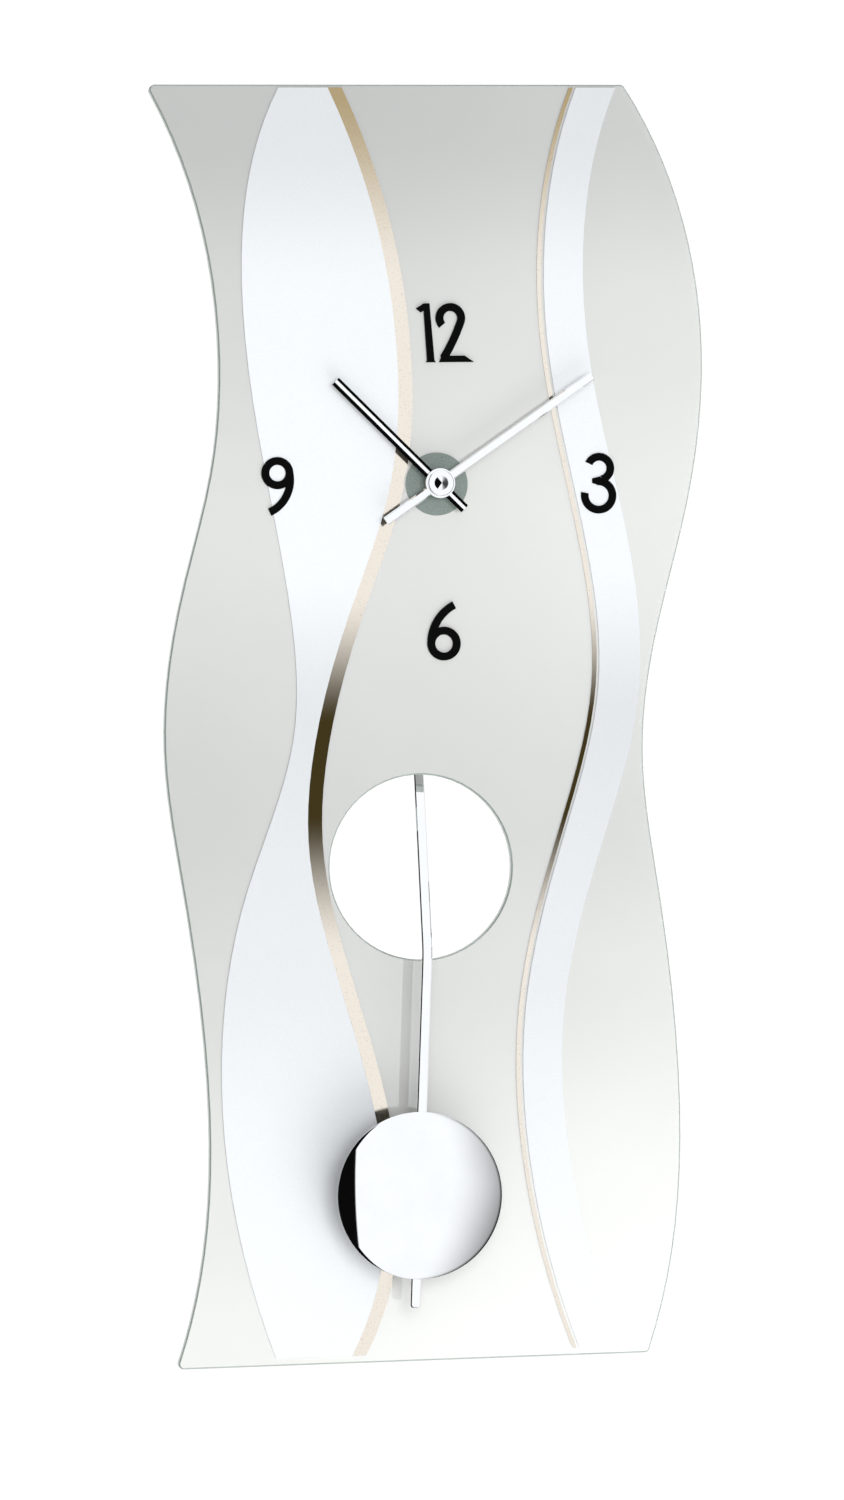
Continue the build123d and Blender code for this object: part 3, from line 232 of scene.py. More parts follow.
def makeFloor(look):
    shape = bpy.data.meshes.new("floor")
    wide, deep = look["halfWidth"], look["halfDepth"]
    corners = [(-wide, -deep), (wide, -deep), (wide, deep), (-wide, deep)]
    shape.from_pydata([(x, y, look["height"]) for x, y in corners], [], [(0, 1, 2, 3)])
    floor = bpy.data.objects.new("floor", shape)
    scene.collection.objects.link(floor)
    paint = bpy.data.materials.new("paleFloor")
    paint.use_nodes = True
    tree = paint.node_tree
    shader = tree.nodes["Principled BSDF"]
    place = addNode(tree, "ShaderNodeTexCoord").outputs["Object"]
    patches = {"Vector": place, "Scale": look["patches"], "Detail": 6.0}
    grain = addNode(tree, "ShaderNodeTexNoise", inputs=patches)
    shade = mixColour(tree, grain.outputs["Fac"], look["darker"], look["paler"])
    tree.links.new(shade, shader.inputs["Base Color"])
    tree.links.new(shade, shader.inputs["Emission Color"])
    shader.inputs["Roughness"].default_value = look["rough"]
    shader.inputs["Emission Strength"].default_value = look["glow"]
    shape.materials.append(paint)
    floor.visible_glossy = False


makeFloor(paleFloor)
scene.view_settings.view_transform = "Standard"
print("camera and studio made")


# Materials, all laid out on Object coordinates. In their dictionaries a noise is written as
# (scale, detail, roughness), a relief as (strength, distance)
def startMaterial(name, values):
    made = bpy.data.materials.new(name)
    made.use_nodes = True
    shader = made.node_tree.nodes["Principled BSDF"]
    for socket, value in values.items():
        shader.inputs[socket].default_value = value
    return made, made.node_tree, shader


def objectPlace(tree, scale=(1, 1, 1), turn=(0, 0, 0), shift=(0, 0, 0)):
    place = addNode(tree, "ShaderNodeTexCoord").outputs["Object"]
    mapping = addNode(
        tree, "ShaderNodeMapping",
        inputs={"Vector": place, "Scale": scale, "Rotation": turn, "Location": shift},
    )
    return mapping.outputs[0]


def noise(tree, place, scale, detail=2.0, roughness=0.5):
    node = addNode(
        tree, "ShaderNodeTexNoise",
        inputs={"Vector": place, "Scale": scale, "Detail": detail, "Roughness": roughness},
    )
    return node.outputs["Fac"]


def bump(tree, shader, height, strength, distance):
    node = addNode(
        tree, "ShaderNodeBump",
        inputs={"Height": height, "Strength": strength, "Distance": distance},
    )
    tree.links.new(node.outputs[0], shader.inputs["Normal"])


def tint(tree, shader, factor, first, second):
    tree.links.new(mixColour(tree, factor, first, second), shader.inputs["Base Color"])


def roughen(tree, shader, grain, rough):
    tree.links.new(spread(tree, grain, *rough), shader.inputs["Roughness"])


def facingBack(tree):
    # 1 on a face that points at the wall, -1 on one that points at the viewer
    return splitVector(tree, addNode(tree, "ShaderNodeNewGeometry").outputs["Normal"])["Y"]


def panelShare(tree):
    # how far up the panel: 0 at its foot, 1 at its head
    low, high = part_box("glass_panel")
    place = addNode(tree, "ShaderNodeTexCoord").outputs["Object"]
    return remap(tree, splitVector(tree, place)["Z"], low.z, high.z, smooth=False)


def paintedLightRamp(tree, paintedLight, hue):
    # painted light and shade that change slowly from the panel's foot to its head
    ramp = addNode(tree, "ShaderNodeValToRGB", inputs={0: panelShare(tree)})
    ramp.color_ramp.interpolation = "EASE"
    marks = ramp.color_ramp.elements
    for index, (place, tone) in enumerate(paintedLight):
        mark = marks[index] if index < 2 else marks.new(place)
        mark.position = place
        mark.color = colour(*[tone * part for part in hue])
    return ramp.outputs[0]


def frostedGlass():
    look = {
        "hue": (0.99, 1.0, 0.975),
        "paintedLight": (  # painted shade: (share of the height, brightness)
            (0.02, 0.79), (0.12, 0.73), (0.30, 0.60), (0.42, 0.54),
            (0.66, 0.66), (0.82, 0.60), (0.97, 0.46),
        ),
        # painted shade: darker on the left, lighter on the right
        "paintedLightAcross": (0.94, 1.10),
        "clouds": (9.0, 3.0), "cloudTone": (0.98, 1.02),
        "edge": colour(0.60, 0.70, 0.64), "edgeFacing": (0.80, 0.97),
        "clearness": 0.12, "edgeClearness": 0.6,
        "polish": 0.03, "frost": (0.45, 0.55), "edgeFrost": 0.22, "grain": (2600.0,),
        "skins": (0.6 * mm, 0.4 * mm),  # between the polished front and the etched back
    }
    made, tree, shader = startMaterial(
        "frostedGlass", {"IOR": 1.5, "Coat Weight": 1.0, "Coat Roughness": 0.02, "Coat IOR": 2.0}
    )
    place = objectPlace(tree)
    split = splitVector(tree, place)
    flatness = mathNode(tree, "ABSOLUTE", facingBack(tree))
    edge = remap(tree, flatness, *look["edgeFacing"], 1.0, 0.0)
    # painted shade: darker on the left and towards the head, lighter on the right and at the foot
    across = remap(tree, split["X"], -cadBox[1].x, cadBox[1].x, *look["paintedLightAcross"])
    clouds = spread(tree, noise(tree, place, *look["clouds"]), *look["cloudTone"])
    tone = paintedLightRamp(tree, look["paintedLight"], look["hue"])
    body = addNode(
        tree, "ShaderNodeVectorMath", {"operation": "SCALE"},
        {0: tone, "Scale": mathNode(tree, "MULTIPLY", across, clouds)},
    ).outputs[0]
    tint(tree, shader, edge, body, look["edge"])
    clearness = mixValue(tree, edge, look["clearness"], look["edgeClearness"])
    tree.links.new(clearness, shader.inputs["Transmission Weight"])
    # polished in front, etched behind, ground round the edge
    depth = remap(tree, split["Y"], glassFront + look["skins"][0], glassBack - look["skins"][1])
    frost = spread(tree, noise(tree, place, *look["grain"]), *look["frost"])
    sides = mixValue(tree, depth, look["polish"], frost)
    tree.links.new(mixValue(tree, edge, sides, look["edgeFrost"]), shader.inputs["Roughness"])
    return made


def satinSilver():
    look = {
        "bright": (0.97, 1.0, 1.03),
        "dull": 0.95,
        "paintedLight": (  # painted reflections and shade: (share of the height, brightness)
            (0.03, 0.80), (0.16, 0.78), (0.32, 0.70), (0.50, 0.66),
            (0.63, 0.82), (0.83, 0.82), (0.96, 0.69),
        ),
        "metal": 0.2, "rough": (0.28, 0.36), "relief": (0.10, 0.03 * mm),
        "grain": (1900.0, 3.0, 0.65), "dullFrom": (0.35, 0.7),
        "drawn": (6.0, 4.0), "drawnAlong": (260, 40, 3),
    }
    made, tree, shader = startMaterial("satinSilver", {"Metallic": look["metal"]})
    # painted reflections and shade: the band's brightness rises and falls up its height
    tone = paintedLightRamp(tree, look["paintedLight"], look["bright"])
    grain = noise(tree, objectPlace(tree), *look["grain"])
    drawn = noise(tree, objectPlace(tree, look["drawnAlong"]), *look["drawn"])
    bright = remap(tree, grain, *look["dullFrom"])
    tint(tree, shader, bright, dimmed(tree, tone, look["dull"]), tone)
    roughen(tree, shader, drawn, look["rough"])
    bump(tree, shader, grain, *look["relief"])
    return made


def champagneGold():
    look = {
        "bright": colour(0.86, 0.785, 0.695),
        # painted reflection: a dark stretch across the strips' middle and a darker head
        "paintedReflection": colour(0.050, 0.036, 0.011),
        "head": colour(0.44, 0.34, 0.19),
        "paintedReflectionFrom": (0.315, 0.43), "paintedReflectionTo": (0.50, 0.605), "paintedHeadReflectionFrom": (0.84, 1.0),
        "grain": (1400.0, 4.0, 0.7), "speck": 0.80, "speckFrom": (0.56, 0.70),
        "wear": (30.0, 3.0), "wearAlong": (60, 60, 4), "rough": (0.06, 0.14),
    }
    made, tree, shader = startMaterial("champagneGold", {"Metallic": 1.0})
    # painted reflection: darkens the strip across its middle and towards its head
    share = panelShare(tree)
    above = remap(tree, share, *look["paintedReflectionFrom"])
    below = remap(tree, share, *look["paintedReflectionTo"], 1.0, 0.0)
    band = mathNode(tree, "MULTIPLY", above, below)
    tone = mixColour(tree, remap(tree, share, *look["paintedHeadReflectionFrom"]), look["bright"], look["head"])
    tone = mixColour(tree, band, tone, look["paintedReflection"])
    specks = remap(tree, noise(tree, objectPlace(tree), *look["grain"]), *look["speckFrom"])
    tint(tree, shader, specks, tone, dimmed(tree, tone, look["speck"]))
    wear = noise(tree, objectPlace(tree, look["wearAlong"]), *look["wear"])
    roughen(tree, shader, wear, look["rough"])
    return made


def numeralBlack():
    look = {
        "dark": grey(0.001), "light": grey(0.003), "rough": (0.38, 0.52),
        "ink": (700.0, 4.0), "relief": (0.15, 0.03 * mm),
    }
    made, tree, shader = startMaterial("numeralBlack", {"Specular IOR Level": 0.03})
    ink = noise(tree, objectPlace(tree), *look["ink"])
    tint(tree, shader, ink, look["dark"], look["light"])
    roughen(tree, shader, ink, look["rough"])
    bump(tree, shader, ink, *look["relief"])
    return made


def slateGrey():
    look = {
        "dark": colour(0.15, 0.185, 0.172), "light": colour(0.21, 0.255, 0.235),
        "flecks": (1500.0, 4.0, 0.6), "rough": (0.22, 0.34),
    }
    made, tree, shader = startMaterial("slateGrey", {"Coat Weight": 0.35, "Coat Roughness": 0.08})
    flecks = noise(tree, objectPlace(tree), *look["flecks"])
    tint(tree, shader, flecks, look["dark"], look["light"])
    roughen(tree, shader, flecks, look["rough"])
    return made


# Mirror finishes; one with a "back" is darker and rougher on the faces turned towards the wall
mirrorLooks = {
    "polishedChrome": {"bright": (0.95, 0.955, 0.965), "rough": (0.012, 0.05)},
    "barChrome": {
        "bright": (0.95, 0.955, 0.965), "rough": (0.012, 0.05), "back": (0.18, 0.18, 0.17),
    },
    "nickelPlate": {"bright": (0.72, 0.70, 0.66), "rough": (0.12, 0.26)},
}
mirrorWear = {
    "haze": (45.0, 5.0, 0.6), "hazeFrom": (0.35, 0.65), "hazeDim": 0.97,
    "hair": (8.0,), "hairAlong": (30, 500, 500), "hairTurn": (0.3, 0.2, 0.1),
    "roughFrom": (0.12, 0.5), "backRough": 0.4,
}


def mirrorMetal(name, look):
    wear = mirrorWear
    made, tree, shader = startMaterial(name, {"Metallic": 1.0})
    haze = noise(tree, objectPlace(tree), *wear["haze"])
    hair = noise(tree, objectPlace(tree, wear["hairAlong"], wear["hairTurn"]), *wear["hair"])
    dim = colour(*[part * wear["hazeDim"] for part in look["bright"]])
    hazy = remap(tree, haze, *wear["hazeFrom"])
    polished = mixColour(tree, hazy, dim, colour(*look["bright"]))
    worn = mathNode(tree, "MULTIPLY", haze, hair)
    finish = remap(tree, worn, *wear["roughFrom"], *look["rough"])
    if "back" in look:
        behind = mathNode(tree, "GREATER_THAN", facingBack(tree), 0.5)
        polished = mixColour(tree, behind, polished, colour(*look["back"]))
        finish = mixValue(tree, behind, finish, wear["backRough"])
    tree.links.new(polished, shader.inputs["Base Color"])
    tree.links.new(finish, shader.inputs["Roughness"])
    return made


# Brushed or turned metals; "grain" is how fine the brushing is along each axis
brushedLooks = {
    "strapSteel": {
        "bright": (0.66, 0.67, 0.68), "dull": (0.50, 0.51, 0.52), "rough": (0.26, 0.40),
        "grain": (400, 400, 8),
    },
    "screwSteel": {
        "bright": (0.62, 0.62, 0.60), "dull": (0.40, 0.40, 0.39), "rough": (0.25, 0.38),
        "grain": (300, 300, 300),
    },
    "springSteel": {
        "bright": (0.55, 0.56, 0.58), "dull": (0.35, 0.36, 0.38), "rough": (0.22, 0.34),
        "grain": (200, 200, 900),
    },
    "turnedBrass": {
        "bright": (0.80, 0.62, 0.30), "dull": (0.62, 0.45, 0.20), "rough": (0.2, 0.32),
        "grain": (90, 900, 90),
    },
    "magnetGrey": {
        "bright": (0.30, 0.30, 0.31), "dull": (0.16, 0.16, 0.17), "rough": (0.35, 0.5),
        "grain": (150, 150, 150),
    },
}
metalWear = {
    "brushing": (5.0, 4.0, 0.6), "stains": (70.0, 4.0), "stainsFrom": (0.2, 0.6),
    "relief": (0.15, 0.03 * mm),
}


def brushedMetal(name, look):
    wear = metalWear
    made, tree, shader = startMaterial(name, {"Metallic": 1.0})
    brushed = noise(tree, objectPlace(tree, look["grain"]), *wear["brushing"])
    stains = remap(tree, noise(tree, objectPlace(tree), *wear["stains"]), *wear["stainsFrom"])
    shade = mathNode(tree, "MULTIPLY", spread(tree, brushed, 0.0, 1.0), stains)
    tint(tree, shader, shade, colour(*look["dull"]), colour(*look["bright"]))
    roughen(tree, shader, brushed, look["rough"])
    bump(tree, shader, brushed, *wear["relief"])
    return made


def spunSteel():
    # turned rings round the middle of the bob's back plate
    look = {
        "dark": colour(0.13, 0.13, 0.12), "light": colour(0.24, 0.235, 0.22),
        "rings": (4200.0,), "rough": (0.22, 0.36), "relief": (0.2, 0.03 * mm),
    }
    low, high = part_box("bob_back_plate")
    made, tree, shader = startMaterial("spunSteel", {"Metallic": 1.0})
    place = objectPlace(tree, shift=-(low + high) / 2)
    length = addNode(tree, "ShaderNodeVectorMath", {"operation": "LENGTH"}, {0: place})
    radius = addNode(tree, "ShaderNodeCombineXYZ", inputs={0: length.outputs["Value"]}).outputs[0]
    rings = noise(tree, radius, *look["rings"])
    tint(tree, shader, rings, look["dark"], look["light"])
    roughen(tree, shader, rings, look["rough"])
    bump(tree, shader, rings, *look["relief"])
    return made


# Moulded plastics
plasticLooks = {
    "caseBlack": {
        "base": (0.010, 0.010, 0.011), "light": (0.020, 0.020, 0.021), "rough": (0.45, 0.6),
        "grain": (1500.0, 3.0, 0.6), "relief": (0.25, 0.04 * mm),
    },
    "leverBlack": {
        "base": (0.014, 0.014, 0.014), "light": (0.03, 0.03, 0.03), "rough": (0.35, 0.5),
        "grain": (1500.0, 3.0, 0.6), "relief": (0.25, 0.04 * mm),
    },
    "wheelWhite": {
        "base": (0.74, 0.73, 0.68), "light": (0.80, 0.79, 0.75), "rough": (0.3, 0.42),
        "grain": (1800.0, 3.0, 0.6), "relief": (0.1, 0.04 * mm),
    },
    "plateGrey": {
        "base": (0.42, 0.42, 0.40), "light": (0.50, 0.50, 0.48), "rough": (0.4, 0.55),
        "grain": (1500.0, 3.0, 0.6), "relief": (0.25, 0.04 * mm),
    },
    "chipBlack": {
        "base": (0.008, 0.008, 0.009), "light": (0.02, 0.02, 0.02), "rough": (0.4, 0.55),
        "grain": (3000.0, 3.0, 0.6), "relief": (0.25, 0.04 * mm),
    },
}


def mouldedPlastic(name, look, flowMarks=(60.0, 3.0)):
    made, tree, shader = startMaterial(name, {"Specular IOR Level": 0.45})
    place = objectPlace(tree)
    spark = noise(tree, place, *look["grain"])
    flow = noise(tree, place, *flowMarks)
    tint(tree, shader, flow, colour(*look["base"]), colour(*look["light"]))
    roughen(tree, shader, spark, look["rough"])
    bump(tree, shader, spark, *look["relief"])
    return made


def clearPlastic():
    look = {
        "milky": colour(0.90, 0.93, 0.92), "clear": colour(0.97, 0.98, 0.98),
        "flow": (120.0, 3.0), "rough": (0.08, 0.16),
    }
    made, tree, shader = startMaterial("clearPlastic", {"IOR": 1.49, "Transmission Weight": 0.55})
    flow = noise(tree, objectPlace(tree), *look["flow"])
    tint(tree, shader, flow, look["milky"], look["clear"])
    roughen(tree, shader, flow, look["rough"])
    return made


def softRubber():
    look = {
        "dark": grey(0.012), "pale": colour(0.035, 0.034, 0.033), "rough": (0.7, 0.9),
        "bloom": (300.0, 5.0, 0.7), "relief": (0.2, 0.05 * mm),
    }
    made, tree, shader = startMaterial("softRubber", {"Specular IOR Level": 0.3})
    bloom = noise(tree, objectPlace(tree), *look["bloom"])
    tint(tree, shader, bloom, look["dark"], look["pale"])
    roughen(tree, shader, bloom, look["rough"])
    bump(tree, shader, bloom, *look["relief"])
    return made


def copperWire():
    look = {
        "dark": colour(0.46, 0.17, 0.075), "bright": colour(0.68, 0.30, 0.14),
        "tone": (900.0, 3.0), "rough": (0.2, 0.34),
    }
    made, tree, shader = startMaterial(
        "copperWire", {"Metallic": 1.0, "Coat Weight": 0.5, "Coat Roughness": 0.12}
    )
    tone = noise(tree, objectPlace(tree), *look["tone"])
    tint(tree, shader, tone, look["dark"], look["bright"])
    roughen(tree, shader, tone, look["rough"])
    return made


def boardGreen():
    # solder mask with paler copper tracks under it, in millimetres from the board's corner
    look = {
        "mask": colour(0.012, 0.085, 0.035), "track": colour(0.05, 0.21, 0.09),
        "layout": {"offset": 0.37, "squash": 1.4}, "trackScale": 0.45, "trackWidth": 0.09,
        "weave": (3.0, 3.0), "rough": (0.28, 0.42), "relief": (0.3, 0.04 * mm),
    }
    low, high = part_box("circuit_board")
    made, tree, shader = startMaterial("boardGreen", {"Coat Weight": 0.3, "Coat Roughness": 0.15})
    place = objectPlace(tree, (1 / mm, 1 / mm, 1 / mm), shift=(-low.x / mm, 0, -low.z / mm))
    split = splitVector(tree, place)
    flat = addNode(tree, "ShaderNodeCombineXYZ", inputs={0: split["X"], 1: split["Z"]}).outputs[0]
    bricks = addNode(
        tree, "ShaderNodeTexBrick", look["layout"],
        {"Vector": flat, "Scale": look["trackScale"], "Mortar Size": look["trackWidth"],
         "Color1": grey(0), "Color2": grey(0), "Mortar": grey(1)},
    ).outputs["Color"]
    tracks = addNode(tree, "ShaderNodeSeparateColor", inputs={0: bricks}).outputs[0]
    tint(tree, shader, tracks, look["mask"], look["track"])
    roughen(tree, shader, noise(tree, place, *look["weave"]), look["rough"])
    bump(tree, shader, tracks, *look["relief"])
    return made


def cellWrap():
    # a printed sleeve: dark body, a pale band and a coloured end
    look = {
        "body": colour(0.02, 0.05, 0.09),
        "band": colour(0.72, 0.74, 0.76),
        "end": colour(0.05, 0.33, 0.42),
        "bandAt": 0.68, "bandWidth": 0.03,
        "flakes": (2200.0, 3.0), "flakeTone": (0.9, 1.1), "rough": (0.25, 0.36),
    }
    low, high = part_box("battery")
    made, tree, shader = startMaterial(
        "cellWrap", {"Metallic": 0.35, "Coat Weight": 0.6, "Coat Roughness": 0.1}
    )
    place = objectPlace(tree)
    share = remap(tree, splitVector(tree, place)["Z"], low.z, high.z, smooth=False)
    start, stop = look["bandAt"] - look["bandWidth"], look["bandAt"]
    pastStart = mathNode(tree, "GREATER_THAN", share, start)
    pastStop = mathNode(tree, "GREATER_THAN", share, stop)
    printed = mixColour(tree, pastStart, look["body"], look["band"])
    printed = mixColour(tree, pastStop, printed, look["end"])
    flake = noise(tree, place, *look["flakes"])
    fine = spread(tree, flake, *look["flakeTone"])
    shade = addNode(tree, "ShaderNodeHueSaturation", inputs={"Color": printed, "Value": fine})
    tree.links.new(shade.outputs[0], shader.inputs["Base Color"])
    roughen(tree, shader, flake, look["rough"])
    return made


glassPaint = frostedGlass()
silver = satinSilver()
gold = champagneGold()
black = numeralBlack()
slate = slateGrey()
spun = spunSteel()
rubber = softRubber()
clear = clearPlastic()
copper = copperWire()
board = boardGreen()
wrap = cellWrap()
mirrors = {name: mirrorMetal(name, look) for name, look in mirrorLooks.items()}
metals = {name: brushedMetal(name, look) for name, look in brushedLooks.items()}
plastics = {name: mouldedPlastic(name, look) for name, look in plasticLooks.items()}
chrome, barChrome, nickel = mirrors["polishedChrome"], mirrors["barChrome"], mirrors["nickelPlate"]
steel, brass, magnet = metals["springSteel"], metals["turnedBrass"], metals["magnetGrey"]
caseBlack, white, plateGrey = plastics["caseBlack"], plastics["wheelWhite"], plastics["plateGrey"]
print("materials made")

# The finish of each part
finishes = {
    "glass_panel": glassPaint,
    "silver_band_left": silver, "silver_band_right": silver,
    "gold_strip_left": gold, "gold_strip_right": gold,
    "numeral_12": black, "numeral_3": black, "numeral_6": black, "numeral_9": black,
    "cover_disc": slate, "centre_nut": brass, "glass_gasket": rubber,
    "hanger_strap": metals["strapSteel"], "wall_spacer_left": clear, "wall_spacer_right": clear,
    "movement_front_case": caseBlack, "movement_back_case": caseBlack, "train_plate": plateGrey,
    "case_screws": metals["screwSteel"], "battery": wrap,
    "battery_contact_positive": nickel, "battery_contact_negative": nickel,
    "circuit_board": board, "timer_chip": plastics["chipBlack"], "quartz_crystal": nickel,
    "pendulum_drive_coil": plateGrey, "motor_stator": steel, "motor_coil": white,
    "motor_rotor": magnet, "pendulum_pivot_pin": steel,
    "third_wheel": white, "second_wheel": white, "intermediate_wheel": white,
    "centre_wheel": brass, "minute_arbor": brass, "friction_spring": steel,
    "motion_wheel": white, "hour_wheel": white, "set_shaft": white,
    "set_knob": caseBlack, "hour_hand": barChrome, "minute_hand": barChrome, "hand_nut": chrome,
    "pendulum_lever": plastics["leverBlack"], "drive_magnet": magnet, "pendulum_rod": barChrome,
    "bob_back_plate": spun, "bob_dome": chrome, "bob_clip": steel,
}
for nodeName, paint in finishes.items():
    part = nodes[nodeName]
    if not part.material_slots:
        part.data.materials.append(paint)
    for materialSlot in part.material_slots:
        materialSlot.material = paint
print("finishes given to", len(finishes), "parts")


# Turned shapes: a profile is a list of (radius, distance along the axis)
def latheMesh(name, origin, along, profile, segments):
    work = bmesh.new()
    axis = Vector(along)
    side = axis.orthogonal().normalized()
    points = [work.verts.new(origin + side * radius + axis * step) for radius, step in profile]
    edges = [work.edges.new(pair) for pair in zip(points, points[1:])]
    bmesh.ops.spin(
        work, geom=points + edges, cent=origin, axis=axis, angle=2 * pi, steps=segments,
        use_merge=True,
    )
    bmesh.ops.remove_doubles(work, verts=work.verts, dist=1e-6)
    bmesh.ops.recalc_face_normals(work, faces=work.faces)
    return finishMesh(name, work)


def finishMesh(name, work):
    shape = bpy.data.meshes.new(name)
    work.to_mesh(shape)
    work.free()
    return shape


def addPiece(shape, body, paint, replaced=(), smoothAngle=30):
    piece = bpy.data.objects.new(shape.name, shape)
    scene.collection.objects.link(piece)
    shape.materials.clear()
    shape.materials.append(paint)
    shape.shade_smooth()
    if smoothAngle:
        shape.set_sharp_from_angle(angle=radians(smoothAngle))
    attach(piece, body)
    if replaced:
        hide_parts(*replaced)
    return piece


def arcPoints(centre, radius, startAngle, endAngle, count):
    turn = (endAngle - startAngle) / count
    angles = [radians(startAngle + turn * step) for step in range(count + 1)]
    return [(centre[0] + radius * cos(angle), centre[1] + radius * sin(angle)) for angle in angles]


towardsViewer = Vector((0, -1, 0))

# The bob's dome: a shallow spun cap with a rolled rim
bobShape = {
    "rise": 7.5 * mm, "sheet": 0.8 * mm, "rimRound": 0.35 * mm,
    "shoulderTurn": 65,    # degrees that the rim's front round turns inwards
    "innerReach": 0.985,   # how far out the hollow behind goes
    "rimSteps": 5, "rings": 48, "innerRings": 16, "segments": 256,
}


def makeDome(look):
    low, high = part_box("bob_dome")
    centre = Vector(((low.x + high.x) / 2, high.y, (low.z + high.z) / 2))
    rim = (high.x - low.x) / 2
    rise, sheet, rimRound = look["rise"], look["sheet"], look["rimRound"]
    sphere = (rim ** 2 + rise ** 2) / (2 * rise)
    sweep = asin(rim / sphere)
    profile = [(rim - rimRound, 0.0)]
    profile += arcPoints((rim - rimRound, rimRound), rimRound, -90, 0, look["rimSteps"])[1:]
    shoulder = (rim - rimRound, sheet - rimRound)
    profile += arcPoints(shoulder, rimRound, 0, look["shoulderTurn"], look["rimSteps"])
    for ring in range(1, look["rings"] + 1):
        angle = sweep * (1 - ring / look["rings"])
        profile.append((sphere * sin(angle), sheet + rise - sphere * (1 - cos(angle))))
    profile[-1] = (0.0, sheet + rise)
    for ring in range(look["innerRings"] + 1):
        angle = sweep * ring / look["innerRings"] * look["innerReach"]
        profile.append((sphere * sin(angle), max(rise - sphere * (1 - cos(angle)), 0.0)))
    profile.append(profile[0])
    dome = latheMesh("bob_dome_polished", centre, towardsViewer, profile, look["segments"])
    addPiece(dome, "pendulum", chrome, ["bob_dome"], smoothAngle=40)


makeDome(bobShape)

# The cap that holds the hands: a flat disc with a groove round a blunt cone
capShape = {
    "radius": 6.1 * mm, "thickness": 2.0 * mm, "round": 0.45 * mm, "foot": 0.2 * mm,
    "groove": 0.15 * mm,
    "cone": 3.25 * mm, "point": 0.12 * mm, "bore": 1.5 * mm, "boreDepth": 1.4 * mm,
    "roundSteps": 6, "coneSteps": 8, "segments": 96,
}


def makeCap(look):
    low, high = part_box("hand_nut")
    centre = Vector(((low.x + high.x) / 2, high.y, (low.z + high.z) / 2))
    height = high.y - low.y
    radius, front, cone = look["radius"], look["thickness"], look["cone"]
    profile = [(0.0, look["boreDepth"]), (look["bore"], look["boreDepth"]), (look["bore"], 0.0)]
    profile += [(radius - look["foot"], 0.0), (radius, look["foot"])]
    corner = (radius - look["round"], front - look["round"])
    profile += arcPoints(corner, look["round"], 0, 90, look["roundSteps"])
    profile += [(cone + look["groove"], front), (cone, front - look["groove"]), (cone, front)]
    for step in range(1, look["coneSteps"] + 1):
        share = step / look["coneSteps"]
        profile.append((cone + (look["point"] - cone) * share, front + (height - front) * share))
    profile.append((0.0, height))
    cap = latheMesh("hand_nut_polished", centre, towardsViewer, profile, look["segments"])
    addPiece(cap, "minute_hand", chrome, ["hand_nut"], smoothAngle=25)


makeCap(capShape)

# The cell: crimped can, dished negative cap, insulating ring and positive nub
cellShape = {
    "radius": 7.1 * mm, "length": 50.5 * mm, "nub": 2.75 * mm, "nubHeight": 1.5 * mm,
    "nubRound": 0.35 * mm, "nubFlare": 0.3 * mm, "nubFoot": 0.1 * mm,
    "crimp": 0.5 * mm, "crimpFoot": 0.1 * mm, "crimpDrop": 0.05 * mm,
    "dish": 3.6 * mm, "dishLip": 3.9 * mm, "dishDepth": 0.25 * mm,
    "footFlat": 4.7 * mm, "footGroove": (5.0 * mm, 5.7 * mm), "footGrooveDepth": 0.35 * mm,
    "footLip": 6.0 * mm,
    "ring": (3.6 * mm, 5.2 * mm), "ringLip": 5.6 * mm, "ringDepth": 0.45 * mm,
    "sleeve": 0.12 * mm, "footBead": (2.0 * mm, 2.3 * mm), "headBead": (2.2 * mm, 1.9 * mm),
    "bareInside": 5.7 * mm, "bareFoot": 2.0 * mm, "bareHead": 1.0 * mm,
    "crimpSteps": 6, "nubSteps": 5, "segments": 96,
}


def makeCell(look):
    low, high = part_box("battery")
    base = Vector(((low.x + high.x) / 2, (low.y + high.y) / 2, low.z))
    radius, crimp, nub, nubRound = look["radius"], look["crimp"], look["nub"], look["nubRound"]
    crimpSteps, crimpDrop = look["crimpSteps"], look["crimpDrop"]
    top = look["length"] - look["nubHeight"]
    profile = [(0.0, look["dishDepth"]), (look["dish"], look["dishDepth"]), (look["dishLip"], 0.0)]
    profile.append((look["footFlat"], 0.0))
    profile += [(reach, look["footGrooveDepth"]) for reach in look["footGroove"]]
    profile.append((look["footLip"], look["crimpFoot"]))
    profile += arcPoints((radius - crimp, crimp + look["crimpFoot"]), crimp, -90, 0, crimpSteps)
    profile += [(radius, look["footBead"][0]), (radius - look["sleeve"], look["footBead"][1])]
    profile += [(radius - look["sleeve"], top - look["headBead"][0])]
    profile += [(radius, top - look["headBead"][1])]
    profile += arcPoints((radius - crimp, top - crimp - crimpDrop), crimp, 0, 90, crimpSteps)
    profile.append((look["ringLip"], top - crimpDrop))
    profile += [(reach, top - look["ringDepth"]) for reach in reversed(look["ring"])]
    profile += [(nub + look["nubFlare"], top), (nub, top + look["nubFoot"])]
    nubCorner = (nub - nubRound, look["length"] - nubRound)
    profile += arcPoints(nubCorner, nubRound, 0, 90, look["nubSteps"])
    profile.append((0.0, look["length"]))
    can = latheMesh("battery_cell", base, (0, 0, 1), profile, look["segments"])
    cell = addPiece(can, "clock", wrap, ["battery"], smoothAngle=35)
    # bare metal where the sleeve stops
    cell.data.materials.append(nickel)
    for face in cell.data.polygons:
        rise = face.center.z - low.z
        outside = sqrt((face.center.x - base.x) ** 2 + (face.center.y - base.y) ** 2)
        atAnEnd = rise < look["bareFoot"] or rise > top - look["bareHead"]
        if outside < look["bareInside"] and atAnEnd:
            face.material_index = 1


